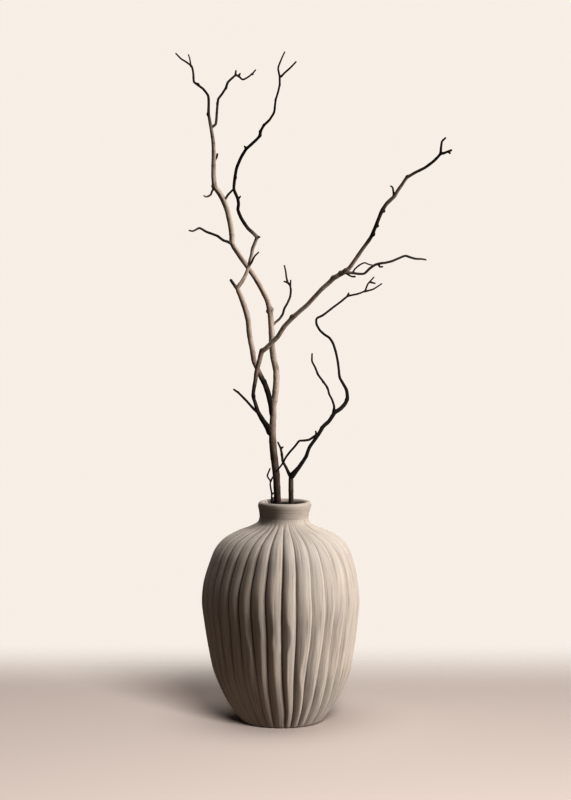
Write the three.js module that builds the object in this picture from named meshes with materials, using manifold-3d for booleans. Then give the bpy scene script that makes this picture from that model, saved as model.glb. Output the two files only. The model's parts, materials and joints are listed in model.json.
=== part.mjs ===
// A bare-branch arrangement: a tall ribbed stoneware vase that holds a large and a small dry branch.
// Millimetres, +Z up. The origin is the middle of the vase's foot, on the surface that it stands on.
// The front of the arrangement faces -Y, and +X is to the right.
import * as THREE from "three";
import { mergeVertices } from "three/addons/utils/BufferGeometryUtils.js";
import Module from "manifold-3d";

const wasm = await Module();
wasm.setup();

// ---- Vase: driving dimensions ----

// The body over the crests of its ribs, from the foot up to the neck: [radius, height].
const BODY_OUTLINE = [
  [50, 0], [54.5, 2], [61, 9], [73, 26], [84.5, 48], [93, 70], [99.5, 103], [104.3, 138],
  [106.8, 163], [105, 188], [99, 214], [90, 237], [80, 248.5], [63, 258.5], [43, 267],
  [34.5, 273],
];

// The smooth neck and its rounded lip, which is the top of the vase: [radius, height].
const NECK_OUTLINE = [
  [33.2, 277], [34.4, 288], [35.9, 295], [35, 298.7], [32, 300], [28.5, 298.8], [27, 295.5],
];

// The hollow, from the bore of the neck down to the corner of the inner floor: [radius, height].
const HOLLOW_OUTLINE = [
  [26.8, 274], [34, 266.5], [66, 248], [86, 224], [96, 180], [96, 145], [88, 88], [66, 31],
  [46, 11], [38, 8],
];
const FLOOR_HEIGHT = 8;

// The vase was shaped by hand, so its axis wanders a little: sideways shift of each height.
const AXIS_HEIGHTS = [60, 165, 190, 215, 250, 275, 300];
const AXIS_SHIFTS = [0, -1.5, -1.6, -0.3, 1, 2.4, 4];

// Each rib lies between two sharp creases. Crease azimuths in degrees from the front, + to the right,
// where the crease crosses the shoulder, belly, waist, lower body and foot.
const CREASE_HEIGHTS = [255, 205, 130, 60, 25];
const FRONT_CREASES = [
  [-81, -80.5, -80, -80, -80],
  [-72, -71.5, -70.5, -71, -71],
  [-62, -61, -60, -60.5, -61],
  [-52, -52, -52.6, -53, -52],
  [-40.4, -41.8, -42, -43, -41.8],
  [-29.4, -32.2, -32.8, -33, -31.4],
  [-20.6, -22.4, -22, -20.8, -20.8],
  [-10.9, -11.3, -10.6, -11.4, -10.8],
  [0.5, 1, 0.6, 1.4, 3.8],
  [10.8, 11.4, 11.2, 10.6, 12.2],
  [22.6, 23, 22.8, 19.6, 21.8],
  [32.2, 34.4, 33.8, 30.8, 31.8],
  [43, 45.3, 42, 42.6, 45.6],
  [54, 57.8, 54.6, 53.4, 58],
  [67, 69.5, 64, 63, 67.5],
  [79, 80, 76.5, 73.8, 77],
  [90, 90, 87, 85, 88],
];
const BACK_CREASES = 16;
const BACK_CREASE_JITTER = 1.6;
const CREASE_SEED = 11;

// Depth of the creases below the rib crests, at each height, and how round a rib's section is.
const DEPTH_HEIGHTS = [0, 10, 60, 225, 250, 268, 275];
const CREASE_DEPTHS = [1.8, 2.6, 4.3, 4.3, 2.8, 1.2, 0];
const RIB_ROUNDNESS = 2.2;
const STEPS_PER_RIB = 4;

// ---- Branches: driving dimensions ----

// Each limb is a list of points [x, y, z] along its middle, with its radius given at even steps of
// its length, from the root to the tip. A root starts in the middle of the limb that it grows from.
const MAIN_BRANCH = {
  stem: {
    sides: 8,
    radii: [
      4.7, 4.7, 4.6, 4.6, 4.6, 4.5, 4.5, 4.3, 4.6, 4.1, 3.9, 3.8, 3.5, 3.1, 3.1, 3.4, 3.5, 3, 2.2, 1.6,
      1.3, 0.8,
    ],
    points: [
      [17, 6, 8.7], [6, 12.5, 150], [-6, 19.4, 297], [-8, 23, 333], [-10, 25, 353], [-12, 26, 370],
      [-13, 28, 385], [-13, 29, 398], [-12, 30, 413], [-12, 31, 424], [-10, 32, 436], [-8, 33, 458],
      [-8, 34, 475], [-11, 34, 489], [-13, 35, 504], [-14, 36, 522], [-15, 37, 539], [-16, 38, 554],
      [-20, 39, 570], [-27, 39, 584], [-37, 40, 601], [-45, 41, 613], [-55, 42, 627], [-63, 43, 639],
      [-68, 44, 648], [-68, 45, 657], [-70, 47, 672], [-74, 50, 691], [-79, 52, 704], [-85, 54, 715],
      [-91, 56, 723], [-93, 58, 737], [-93, 59, 754], [-93, 61, 775], [-94, 63, 788], [-97, 66, 805],
      [-100, 70, 822], [-101, 74, 848], [-108, 75, 857], [-115, 76, 862], [-120, 77, 866],
      [-121, 78, 877], [-123, 79, 887], [-132, 78, 894], [-137, 77, 897], [-145, 74, 905],
    ],
  },
  topFork: { sides: 5, radii: [1, 0.7], points: [[-124, 79, 886], [-126, 82, 898], [-128, 85, 904]] },
  topRightLimb: {
    sides: 6,
    radii: [1.6, 1.5, 1.4, 1.4, 1.1, 0.8],
    points: [
      [-97, 66, 803], [-95, 67, 805], [-91, 69, 808], [-89, 73, 823], [-88, 77, 836], [-87, 79, 843],
      [-82, 82, 850], [-77, 84, 858], [-74, 86, 866], [-68, 88, 872], [-63, 90, 876], [-59, 92, 874],
      [-54, 93, 870], [-46, 95, 874], [-40, 97, 879], [-36, 99, 884],
    ],
  },
  leftTwig: {
    sides: 5,
    radii: [1.6, 1.4, 1.3, 0.9],
    points: [
      [-69, 44, 647], [-73, 42, 649], [-79, 38, 651], [-87, 32, 657], [-102, 22, 663], [-111, 15, 668],
      [-120, 8, 664], [-125, 5, 665],
    ],
  },
  backTwig: { sides: 5, radii: [1.5, 1.1], points: [[-79, 52, 704], [-73, 50, 713], [-66, 46, 720]] },
  // The tall middle limb leaves the stem low down and crosses in front of it higher up.
  middleLimb: {
    sides: 7,
    radii: [3.4, 3.3, 3.2, 3.5, 3.4, 3.5, 2.4, 2, 2.1, 2.1, 1.9, 1.8, 1.8, 1.6, 1.3, 1.1, 1.1, 0.7],
    points: [
      [-12, 31, 414], [-16, 30, 432], [-19, 28, 444], [-23, 27, 456], [-28, 25, 466], [-32, 24, 475],
      [-38, 23, 489], [-40, 20, 503], [-44, 18, 524], [-46, 17, 545], [-51, 18, 564], [-56, 19, 577],
      [-60, 20, 587], [-54, 22, 596], [-49, 24, 605], [-45, 26, 616], [-43, 26, 625], [-41, 25, 632],
      [-40, 24, 639], [-36, 21, 649], [-34, 19, 655], [-46, 12, 668], [-55, 5, 682], [-59, 0, 693],
      [-58, -3, 700], [-59, -6, 707], [-64, -12, 720], [-63, -15, 732], [-60, -21, 748],
      [-54, -25, 762], [-47, -29, 773], [-39, -32, 780], [-30, -35, 789], [-27, -37, 798],
      [-24, -39, 803], [-16, -42, 811], [-10, -44, 821], [-9, -45, 830], [-8, -46, 837],
      [-5, -46, 847], [-3, -47, 856], [-3, -48, 867], [-5, -46, 878], [-1, -44, 889], [4, -41, 900],
    ],
  },
  middleFork: {
    sides: 5,
    radii: [1.1, 0.8],
    points: [[-2, -48, 866], [4, -50, 872], [11, -53, 878], [19, -58, 886]],
  },
  middleStub: {
    sides: 6,
    radii: [2.2, 1.8, 1.8],
    points: [[-59, 20, 585], [-65, 22, 592], [-70, 24, 599]],
  },
  crossingTwig: {
    sides: 5,
    radii: [1.3, 0.8],
    points: [[-45, 26, 616], [-41, 23, 622], [-37, 18, 630], [-31, 14, 636]],
  },
  rightTwig: {
    sides: 5,
    radii: [1.5, 1.3, 1.2, 1.1, 0.8],
    points: [
      [-14, 37, 535], [-9, 38, 540], [-4, 40, 544], [1, 45, 551], [3, 48, 558], [7, 51, 565],
      [11, 56, 574], [12, 59, 583], [11, 61, 589], [8, 63, 593], [6, 66, 600], [5, 69, 608],
      [3, 72, 617],
    ],
  },
  rightTwigFork: { sides: 5, radii: [1.1, 0.8], points: [[8, 63, 593], [5, 64, 594], [2, 64, 595]] },
  // The long diagonal limb starts low on the left, turns up, and sweeps across to the right.
  diagonalLimb: {
    sides: 7,
    radii: [3.7, 2.8, 2.1, 2.6, 3.1, 3, 3, 2.7, 2.6, 2.9, 2.4, 2.2, 2.1, 2.4, 2, 1.6, 1.5, 0.9],
    points: [
      [-14, 28, 389], [-19, 26, 397], [-26, 20, 408], [-33, 14, 421], [-36, 9, 432], [-39, 6, 442],
      [-38, 4, 452], [-36, 1, 463], [-34, -2, 477], [-30, -5, 492], [-27, -7, 503], [-21, -9, 508],
      [-14, -12, 515], [-6, -14, 523], [3, -18, 537], [14, -22, 549], [25, -26, 559], [33, -29, 566],
      [44, -33, 578], [53, -37, 588], [63, -40, 597], [68, -42, 602], [76, -44, 607], [83, -47, 611],
      [89, -48, 616], [96, -52, 626], [106, -57, 641], [117, -62, 657], [122, -66, 669],
      [127, -70, 682], [131, -73, 692], [137, -76, 701], [147, -80, 711], [151, -82, 718],
      [156, -84, 725], [162, -87, 734], [173, -90, 741], [185, -93, 747], [197, -96, 756],
      [205, -98, 765], [206, -99, 774], [207, -101, 781], [212, -103, 786],
    ],
  },
  diagonalFork: {
    sides: 5,
    radii: [1.4, 1.3, 1.2],
    points: [[205, -98, 765], [210, -99, 766], [215, -101, 768], [220, -102, 770]],
  },
  lowLeftTwig: {
    sides: 5,
    radii: [1.8, 1.4, 1.3, 1.1],
    points: [[-30, 15, 417], [-37, 12, 423], [-48, 2, 436], [-59, -8, 448], [-65, -14, 453]],
  },
  sideTwig: {
    sides: 6,
    radii: [2, 1.3, 1.5, 1.4, 1.3, 1.3, 0.9],
    points: [
      [81, -47, 611], [87, -45, 610], [95, -40, 609], [101, -36, 608], [109, -31, 608], [117, -25, 615],
      [123, -21, 619], [129, -17, 621], [138, -11, 622], [147, -5, 624], [157, 2, 628], [166, 8, 631],
      [172, 12, 629], [179, 16, 627], [191, 24, 626], [195, 26, 625],
    ],
  },
  sideTwigUpper: {
    sides: 5,
    radii: [0.9, 0.8, 0.7],
    points: [
      [94, -41, 610], [96, -43, 614], [100, -46, 618], [104, -48, 621], [109, -48, 623],
      [114, -42, 621], [122, -22, 619],
    ],
  },
  sideTwigLower: {
    sides: 5,
    radii: [1.2, 0.9, 1],
    points: [[84, -46, 610], [88, -50, 607], [92, -54, 605], [97, -58, 605]],
  },
  // A hair-thin twig beside the foot of the stem, which grew back to it in three places.
  mouthTwig: {
    sides: 5,
    radii: [1.2, 1, 0.9, 0.8],
    points: [
      [-6, 19, 284], [-14, 15, 297], [-14, 16, 308], [-16, 15, 321], [-16, 15, 326],
      [-20, 12, 333], [-18, 10, 339], [-16, 9, 344],
    ],
  },
  mouthTwigFork: { sides: 5, radii: [0.9, 0.9], points: [[-16, 15, 324], [-13, 17, 330], [-9, 22, 334]] },
  mouthTwigUpperTie: { sides: 5, radii: [0.8, 0.8], points: [[-14, 16, 308], [-7, 20, 311]] },
  mouthTwigLowerTie: { sides: 5, radii: [0.8, 0.8], points: [[-14, 16, 302], [-7, 20, 303]] },
  curledSpur: {
    sides: 5,
    radii: [1.1, 1.2, 0.8],
    points: [
      [-92, 56, 722], [-95, 57, 718], [-97, 59, 713], [-100, 60, 711], [-104, 61, 710], [-107, 63, 712],
    ],
  },
  uprightSpur: {
    sides: 5,
    radii: [0.9, 1.3],
    points: [[-92, 59, 758], [-89, 61, 763], [-88, 62, 769]],
  },
};

const SIDE_BRANCH = {
  stem: {
    sides: 7,
    radii: [3.3, 3.2, 3],
    points: [[12.5, -12, 8.4], [12.4, -17, 150], [12.3, -21.6, 298], [12, -22.5, 321], [12, -23, 338]],
  },
  rightLimb: {
    sides: 6,
    radii: [3.1, 2.4, 2, 2.3, 2.3, 2.5, 2, 1.5, 1.4, 1.4, 1.3, 1.3, 1.2, 1.2, 1, 0.7],
    points: [
      [12, -23, 336], [16, -24, 341], [22, -24, 348], [32, -25, 363], [37, -24, 376], [44, -23, 386],
      [50, -21, 395], [55, -18, 403], [63, -14, 410], [71, -8, 421], [79, -3, 426], [85, 2, 432],
      [88, 6, 438], [87, 13, 450], [82, 17, 459], [78, 21, 466], [77, 25, 476], [76, 29, 485],
      [73, 36, 500], [69, 42, 512], [64, 46, 519], [59, 48, 522], [52, 52, 528], [47, 56, 537],
      [47, 59, 544], [55, 62, 548], [70, 69, 559], [81, 73, 567], [90, 77, 574], [104, 81, 577],
      [114, 85, 581], [118, 88, 590], [127, 92, 600],
    ],
  },
  rightLimbFork: {
    sides: 5,
    radii: [1.1, 0.8],
    points: [[113, 85, 580], [125, 88, 583], [138, 93, 591]],
  },
  leftTwig: {
    sides: 5,
    radii: [2, 1.6, 1.4, 0.9],
    points: [
      [12, -23, 336], [9, -22, 341], [5, -19, 349], [1, -15, 356], [0, -11, 364], [-2, -7, 373],
      [-6, -2, 381],
    ],
  },
  crossingTwig: {
    sides: 5,
    radii: [1.5, 1.2, 1.1, 0.8],
    points: [
      [47, -22, 392], [43, -23, 390], [36, -25, 386], [28, -26, 385], [24, -26, 385], [17, -26, 377],
      [10, -25, 369], [5, -24, 362], [1, -22, 354], [-8, -18, 342],
    ],
  },
  innerTwig: {
    sides: 5,
    radii: [1.5, 1.2, 1.2, 1.1, 0.8],
    points: [
      [69, -8, 420], [70, -10, 429], [67, -14, 439], [63, -18, 447], [61, -22, 455], [55, -26, 464],
      [48, -31, 474], [44, -35, 484], [40, -38, 492], [40, -41, 503],
    ],
  },
  deadStub: { sides: 5, radii: [1.8, 1.2], points: [[52, -19, 400], [55, -18, 404], [58, -17, 406]] },
};

// Short spurs, and the larger swollen knots beside the limbs, as [x, y, z, radius].
const SPUR_RADII = [1.1, 0.8];
const MAIN_SPURS = [
  [[-64, 90, 875], [-63, 93, 883]],
  [[-60, 91.5, 874], [-57, 92, 879]],
  [[-43, 97, 878], [-39, 97, 877]],
  [[-59, -6, 706], [-55, -7, 711]],
  [[-47, -29, 773], [-50, -30, 777]],
  [[-36, 20, 655], [-29, 18, 656]],
  [[146, -80, 711], [145, -82, 718], [144, -84, 722], [141, -84, 724]],
  [[129, -17, 621], [130, -18, 617], [135, -17, 617]],
  [[11, 61, 588], [12, 64, 597]],
  [[215, -101, 768], [218, -102, 765]],
];
const SIDE_SPURS = [
  [[46, -22, 392], [45, -23, 398]],
  [[89, 77, 573], [92, 78, 579]],
  [[-2, -7, 372], [2, -8, 375]],
  [[121, 89, 593], [129, 91, 591]],
];
const MAIN_KNOTS = [
  [-7.5, 34, 480, 3.4], [-20, 38, 555, 3], [-12.5, 38, 558, 2.8], [-94, 56, 724, 3], [-23, 26, 461, 3],
  [-45, 18, 522, 2.7], [-40, 24, 639, 2.4], [-33, 19, 656, 2.4], [-28, -35, 790, 2.4],
  [-38, 6, 442, 2.9], [-28, -7, 505, 3.4], [-5, -14, 523, 3], [13, -22, 551, 3.5], [67, -42, 604, 3.2],
  [77, -45, 611, 2.9], [83, -47, 613, 3], [121, -64, 660, 2.6], [127, -66, 671, 2.6],
  [135, -73, 690, 2.7],
];
const SIDE_KNOTS = [[16, -24, 340, 3], [33, -25, 364, 2.7], [70, -8, 423, 2.8], [87, 6, 437, 3]];

// ---- Materials ----

const STONEWARE = new THREE.MeshStandardMaterial({ color: 0x9d9084, roughness: 0.9, metalness: 0 });
const PALE_BARK = new THREE.MeshStandardMaterial({ color: 0x76675b, roughness: 0.85, metalness: 0 });
const DARK_BARK = new THREE.MeshStandardMaterial({ color: 0x3f3630, roughness: 0.85, metalness: 0 });

// ---- Vase ----

// The value at x on the line through neighbouring entries of a rising or falling list.
function between(xs, values, x) {
  const rising = xs[xs.length - 1] > xs[0];
  const past = xs.findIndex((entry) => (rising ? entry >= x : entry <= x));
  if (past === 0) return values[0];
  if (past < 0) return values[values.length - 1];
  const share = (x - xs[past - 1]) / (xs[past] - xs[past - 1]);
  return values[past - 1] + share * (values[past] - values[past - 1]);
}

// A repeatable random draw between -1 and 1 (a linear congruential generator).
function seededDraw(seed) {
  const MODULUS = 2147483647;
  let state = seed;
  return () => {
    state = (state * 48271) % MODULUS;
    return (2 * state) / MODULUS - 1;
  };
}

// All creases in order round the vase: the measured ones at the front, then the evenly spread rest.
function allCreases() {
  const draw = seededDraw(CREASE_SEED);
  const firstAgain = FRONT_CREASES[0][1] + 360;
  const last = FRONT_CREASES[FRONT_CREASES.length - 1][1];
  const pitch = (firstAgain - last) / (BACK_CREASES + 1);
  const back = Array.from({ length: BACK_CREASES }, (_, i) => {
    const azimuth = last + pitch * (i + 1);
    return CREASE_HEIGHTS.map(() => azimuth + BACK_CREASE_JITTER * draw());
  });
  return [...FRONT_CREASES, ...back];
}

// One ring of the vase at a given height. relief is the depth of its creases, 0 on smooth parts.
function vaseRing([radius, height], creases, stepsPerRib, relief) {
  const middle = between(AXIS_HEIGHTS, AXIS_SHIFTS, height);
  const azimuths = creases.map((crease) => between(CREASE_HEIGHTS, crease, height));
  azimuths.push(azimuths[0] + 360);
  const ring = [];
  for (let rib = 0; rib < creases.length; rib++) {
    for (let step = 0; step < stepsPerRib; step++) {
      const across = step / stepsPerRib;
      const azimuth = azimuths[rib] + across * (azimuths[rib + 1] - azimuths[rib]);
      const hollow = Math.abs(2 * across - 1) ** RIB_ROUNDNESS;
      const reach = radius - relief * hollow;
      const angle = THREE.MathUtils.degToRad(azimuth);
      ring.push(new THREE.Vector3(middle + reach * Math.sin(angle), -reach * Math.cos(angle), height));
    }
  }
  return ring;
}

// A closed surface over a stack of rings, with a middle point at each end. From one ring to the next
// the number of points stays the same or halves.
function closeRings(firstMiddle, rings, lastMiddle) {
  const points = [firstMiddle, ...rings.flat(), lastMiddle];
  const starts = rings.map((_, i) => 1 + rings.slice(0, i).reduce((sum, ring) => sum + ring.length, 0));
  const faces = [];
  const at = (ring, i) => starts[ring] + (i % rings[ring].length);
  for (let i = 0; i < rings[0].length; i++) faces.push(0, at(0, i + 1), at(0, i));
  for (let ring = 0; ring + 1 < rings.length; ring++) {
    const halves = rings[ring].length > rings[ring + 1].length;
    for (let i = 0; i < rings[ring + 1].length; i++) {
      const above = at(ring + 1, i);
      const aboveNext = at(ring + 1, i + 1);
      if (halves) {
        const [a, b, c] = [at(ring, 2 * i), at(ring, 2 * i + 1), at(ring, 2 * i + 2)];
        faces.push(a, b, above, b, aboveNext, above, b, c, aboveNext);
      } else {
        const [a, b] = [at(ring, i), at(ring, i + 1)];
        faces.push(a, b, aboveNext, a, aboveNext, above);
      }
    }
  }
  const last = rings.length - 1;
  for (let i = 0; i < rings[last].length; i++) faces.push(at(last, i), at(last, i + 1), points.length - 1);
  return new THREE.BufferGeometry().setFromPoints(points).setIndex(faces);
}

function vaseGeometry() {
  const creases = allCreases();
  const body = BODY_OUTLINE.map((place) =>
    vaseRing(place, creases, STEPS_PER_RIB, between(DEPTH_HEIGHTS, CREASE_DEPTHS, place[1])),
  );
  const smooth = [...NECK_OUTLINE, ...HOLLOW_OUTLINE].map((place) =>
    vaseRing(place, creases, STEPS_PER_RIB / 2, 0),
  );
  const underside = new THREE.Vector3(0, 0, 0);
  const floor = new THREE.Vector3(0, 0, FLOOR_HEIGHT);
  return closeRings(underside, [...body, ...smooth], floor);
}

// ---- Branches ----

// A closed tube along a limb's points, with its radius read from the limb's list.
function limbGeometry({ sides, radii, points }) {
  const middles = points.map((point) => new THREE.Vector3(...point));
  const lengths = [0];
  for (let i = 1; i < middles.length; i++) {
    lengths.push(lengths[i - 1] + middles[i].distanceTo(middles[i - 1]));
  }
  const total = lengths[lengths.length - 1];
  const stations = radii.map((_, i) => (total * i) / (radii.length - 1));
  const side = new THREE.Vector3(1, 0, 0);
  const rings = middles.map((middle, i) => {
    const before = middles[Math.max(i - 1, 0)];
    const after = middles[Math.min(i + 1, middles.length - 1)];
    const arriving = middle.clone().sub(before).normalize();
    const leaving = after.clone().sub(middle).normalize();
    const along = arriving.add(leaving).normalize();
    side.addScaledVector(along, -side.dot(along)).normalize();
    const across = new THREE.Vector3().crossVectors(along, side);
    const radius = between(stations, radii, lengths[i]);
    return Array.from({ length: sides }, (_, j) => {
      const angle = (2 * Math.PI * j) / sides;
      return middle
        .clone()
        .addScaledVector(side, radius * Math.cos(angle))
        .addScaledVector(across, radius * Math.sin(angle));
    });
  });
  return closeRings(middles[0], rings, middles[middles.length - 1]);
}

function solidOf(geometry) {
  geometry.deleteAttribute("normal");
  geometry.deleteAttribute("uv");
  const merged = mergeVertices(geometry);
  const vertProperties = merged.attributes.position.array;
  const triVerts = new Uint32Array(merged.index.array);
  return new wasm.Manifold(new wasm.Mesh({ numProp: 3, vertProperties, triVerts }));
}

function knotGeometry([x, y, z, radius]) {
  return new THREE.IcosahedronGeometry(radius, 0).translate(x, y, z);
}

// A branch is one piece: its limbs, spurs and knots are joined where they grow into each other.
function branchGeometry(limbs, spurs, knots) {
  const pieces = [
    ...Object.values(limbs).map(limbGeometry),
    ...spurs.map((points) => limbGeometry({ sides: 5, radii: SPUR_RADII, points })),
    ...knots.map(knotGeometry),
  ];
  const joined = pieces.map(solidOf).reduce((whole, piece) => whole.add(piece));
  const { numProp, vertProperties, triVerts } = joined.getMesh();
  const positions = new THREE.BufferAttribute(new Float32Array(vertProperties), numProp);
  return new THREE.BufferGeometry()
    .setAttribute("position", positions)
    .setIndex(new THREE.BufferAttribute(triVerts, 1));
}

// ---- Assembly ----

function namedMesh(name, geometry, material) {
  geometry.computeVertexNormals();
  const mesh = new THREE.Mesh(geometry, material);
  mesh.name = name;
  return mesh;
}

const group = new THREE.Group();
group.add(
  namedMesh("vase", vaseGeometry(), STONEWARE),
  namedMesh("main_branch", branchGeometry(MAIN_BRANCH, MAIN_SPURS, MAIN_KNOTS), PALE_BARK),
  namedMesh("side_branch", branchGeometry(SIDE_BRANCH, SIDE_SPURS, SIDE_KNOTS), DARK_BARK),
);

export default group;
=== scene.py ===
# %% [markdown]
# # Bare branches in a ribbed stoneware vase
#
# A large and a small dry branch stand in a tall vase of unglazed stoneware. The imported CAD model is
# the fixed frame: it says how big each piece is and where it stands. This notebook makes the pieces
# again with the detail that a maker's eye would miss in the plain solids: ribs pressed by hand with
# sharp creases, limbs that swell and kink at their knots, and a dry, cracked bark.

import json
import math

import bpy
import numpy as np
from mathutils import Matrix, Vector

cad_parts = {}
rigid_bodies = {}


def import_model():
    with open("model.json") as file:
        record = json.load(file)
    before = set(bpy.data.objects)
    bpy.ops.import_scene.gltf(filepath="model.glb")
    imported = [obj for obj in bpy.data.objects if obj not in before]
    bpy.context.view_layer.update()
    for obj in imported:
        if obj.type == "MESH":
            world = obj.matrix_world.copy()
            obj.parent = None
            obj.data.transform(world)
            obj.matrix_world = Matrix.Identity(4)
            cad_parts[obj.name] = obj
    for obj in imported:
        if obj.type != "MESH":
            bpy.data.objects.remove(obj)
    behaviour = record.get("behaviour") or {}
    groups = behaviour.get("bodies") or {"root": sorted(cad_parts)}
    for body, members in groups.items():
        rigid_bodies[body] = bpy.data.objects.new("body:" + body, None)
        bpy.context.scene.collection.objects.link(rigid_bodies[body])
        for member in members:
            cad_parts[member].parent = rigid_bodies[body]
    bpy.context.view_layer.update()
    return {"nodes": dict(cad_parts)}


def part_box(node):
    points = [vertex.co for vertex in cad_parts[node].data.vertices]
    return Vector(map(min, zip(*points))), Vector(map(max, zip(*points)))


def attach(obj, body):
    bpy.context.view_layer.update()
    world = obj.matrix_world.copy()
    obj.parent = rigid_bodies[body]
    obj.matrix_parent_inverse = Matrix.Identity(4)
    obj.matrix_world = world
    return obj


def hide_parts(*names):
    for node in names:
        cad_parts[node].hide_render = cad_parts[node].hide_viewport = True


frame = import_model()
MM = 0.001
for node in frame["nodes"]:
    low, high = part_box(node)
    print(node, "from", [round(v / MM) for v in low], "to", [round(v / MM) for v in high], "mm")

# %% [markdown]
# ## The camera
#
# The picture was taken from far away with a long lens, so the vase's foot and rim are thin ellipses.
# A lens of 108 mm, 3.2 m away and a little above the middle of the arrangement, gives the same two
# ellipses. A wide lens close by would also fill the frame, but it would bend the vase.

# %% Place the camera
CAMERA_PLACE = (4.7 * MM, -3220 * MM, 702 * MM)
CAMERA_DIP = math.radians(4.7)
CAMERA_LENS = 108


def add(name, data):
    """A new object in the scene: the camera, a lamp or a mesh."""
    made = bpy.data.objects.new(name, data)
    scene.collection.objects.link(made)
    return made


scene = bpy.context.scene
camera = add("camera", bpy.data.cameras.new("camera"))
scene.camera = camera
camera.data.lens = CAMERA_LENS
camera.location = CAMERA_PLACE
camera.rotation_euler = (math.pi / 2 - CAMERA_DIP, 0, 0)
print("camera looks down by", round(math.degrees(CAMERA_DIP), 1), "degrees")

# %% [markdown]
# ## Smooth lines through measured points
#
# The vase's outline and every limb are known at a few points each. Straight pieces between them would
# show as facets, so a cubic curve is drawn through them. The points lie unevenly, and the curve has to
# allow for that: it is the slope at each point, weighted by the lengths on both sides, that keeps it
# from swinging out where a long stretch meets a short one.


# %% A curve through the points
def through(stations, values, at, slack=1.0):
    """A smooth curve through values at rising stations, read at the places `at`.

    In words: between two stations it is the cubic that starts and ends with the slope of each. The
    slope at a station is the mean of the slopes on both sides, each weighted by the other's length.
    With less slack the curve is pulled tight, so that it turns sharply at each station.
    """
    x = np.asarray(stations, float)
    y = np.asarray(values, float).reshape(len(x), -1)
    span = np.diff(x)[:, None]
    rise = np.diff(y, axis=0) / span
    middle = (rise[:-1] * span[1:] + rise[1:] * span[:-1]) / (span[:-1] + span[1:])
    slope = slack * np.vstack([rise[:1], middle, rise[-1:]])
    i = np.clip(np.searchsorted(x, at, side="right") - 1, 0, len(x) - 2)
    h = span[i]
    t = np.clip((at - x[i]) / h[:, 0], 0, 1)[:, None]
    leaving = y[i] * (1 + 2 * t) * (1 - t) ** 2 + slope[i] * h * t * (1 - t) ** 2
    arriving = y[i + 1] * t**2 * (3 - 2 * t) - slope[i + 1] * h * t**2 * (1 - t)
    return leaving + arriving


def lengths(points):
    """How far along the line each of its points lies: the running sum of the steps between them."""
    steps = np.linalg.norm(np.diff(points, axis=0), axis=1)
    return np.concatenate([[0], np.cumsum(steps)])


print("a step 3 mm across and 4 mm up is", lengths([(0, 0), (3, 4)])[-1], "mm long")

# %% [markdown]
# ## From a grid of points to a closed mesh
#
# Every piece here is a grid: rows that follow one another along the piece, and columns round it. The
# last column is joined to the first, and one more point closes each end, so that the piece is a solid
# with no seam and no hole.


# %% Close a grid of rings into a solid
def grid_mesh(name, first, rings, last):
    """A closed mesh from rings of shape (rows, columns, 3) and a middle point for each end.

    Face (i, j) joins point j and j + 1 of ring i to the same two of ring i + 1, counted round the
    ring, so with rings that turn to the left about the way along, all faces point outwards.
    """
    rows, columns = rings.shape[:2]
    points = np.vstack([first, rings.reshape(-1, 3), last])
    here = 1 + np.arange(columns)
    there = 1 + (np.arange(columns) + 1) % columns
    row_starts = columns * np.arange(rows - 1)[:, None]
    corners = (here, there, there + columns, here + columns)
    quads = np.stack([corner + row_starts for corner in corners], axis=-1)
    top = columns * (rows - 1)
    start_cap = np.stack([np.zeros(columns, int), there, here], axis=-1)
    end_cap = np.stack([here + top, there + top, np.full(columns, len(points) - 1)], axis=-1)
    mesh = bpy.data.meshes.new(name)
    faces = quads.reshape(-1, 4).tolist() + start_cap.tolist() + end_cap.tolist()
    mesh.from_pydata(points * MM, [], faces)
    mesh.shade_smooth()
    return mesh


def keep_on_points(mesh, name, kind, values):
    """Keeps one number (FLOAT) or vector (FLOAT_VECTOR) for each point of the mesh, for its material."""
    layer = mesh.attributes.new(name, kind, "POINT")
    field = "value" if kind == "FLOAT" else "vector"
    layer.data.foreach_set(field, np.ascontiguousarray(values, np.float32).ravel())


# %% [markdown]
# ## The vase's outline
#
# The vase was thrown on a wheel, so it starts as an outline carried round: out over the belly, in to
# the narrow neck, over the thin lip, and down the inside to the floor. The rows lie close together on
# the outside and on the lip, where the light shows every bend, and far apart inside.

# %% Measure the outline
BODY_OUTLINE = [
    (50, 0), (54.5, 2), (61, 9), (73, 26), (84.5, 48), (93, 70), (99.5, 103), (104.3, 138),
    (106.8, 163), (105, 188), (99, 214), (90, 237), (80, 248.5), (63, 258.5), (43, 267), (34.5, 273),
]  # fmt: skip
NECK_OUTLINE = [
    (33.2, 277), (34.4, 288), (35.9, 295), (35, 298.7), (32, 300), (28.5, 298.8), (27, 295.5),
]  # fmt: skip
HOLLOW_OUTLINE = [
    (26.8, 274), (34, 266.5), (66, 248), (86, 224), (96, 180), (96, 145), (88, 88), (66, 31),
    (46, 11), (38, 8),
]  # fmt: skip
FLOOR_HEIGHT = 8
BODY_ROW_STEP, NECK_ROW_STEP, HOLLOW_ROW_STEP = 2.2, 1.1, 12.0
FINE_PLACES = 8000

outline = np.array(BODY_OUTLINE + NECK_OUTLINE + HOLLOW_OUTLINE, float)
outline_lengths = lengths(outline)
neck_start = outline_lengths[len(BODY_OUTLINE)]
hollow_start = outline_lengths[len(BODY_OUTLINE) + len(NECK_OUTLINE)]

fine = np.linspace(0, outline_lengths[-1], FINE_PLACES)
row_step = np.where(fine < neck_start, BODY_ROW_STEP, NECK_ROW_STEP)
row_step = np.where(fine > hollow_start, HOLLOW_ROW_STEP, row_step)
row_count = np.cumsum((fine[1] - fine[0]) / row_step)
row_place = np.interp(np.arange(0, row_count[-1]), row_count, fine)
row_place[0], row_place[-1] = 0, fine[-1]
row_radius, row_height = through(outline_lengths, outline, row_place).T
row_height = np.maximum(row_height, 0)
outside = row_place < neck_start
print(len(row_place), "rows, the widest", round(2 * row_radius.max()), "mm across")

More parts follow.
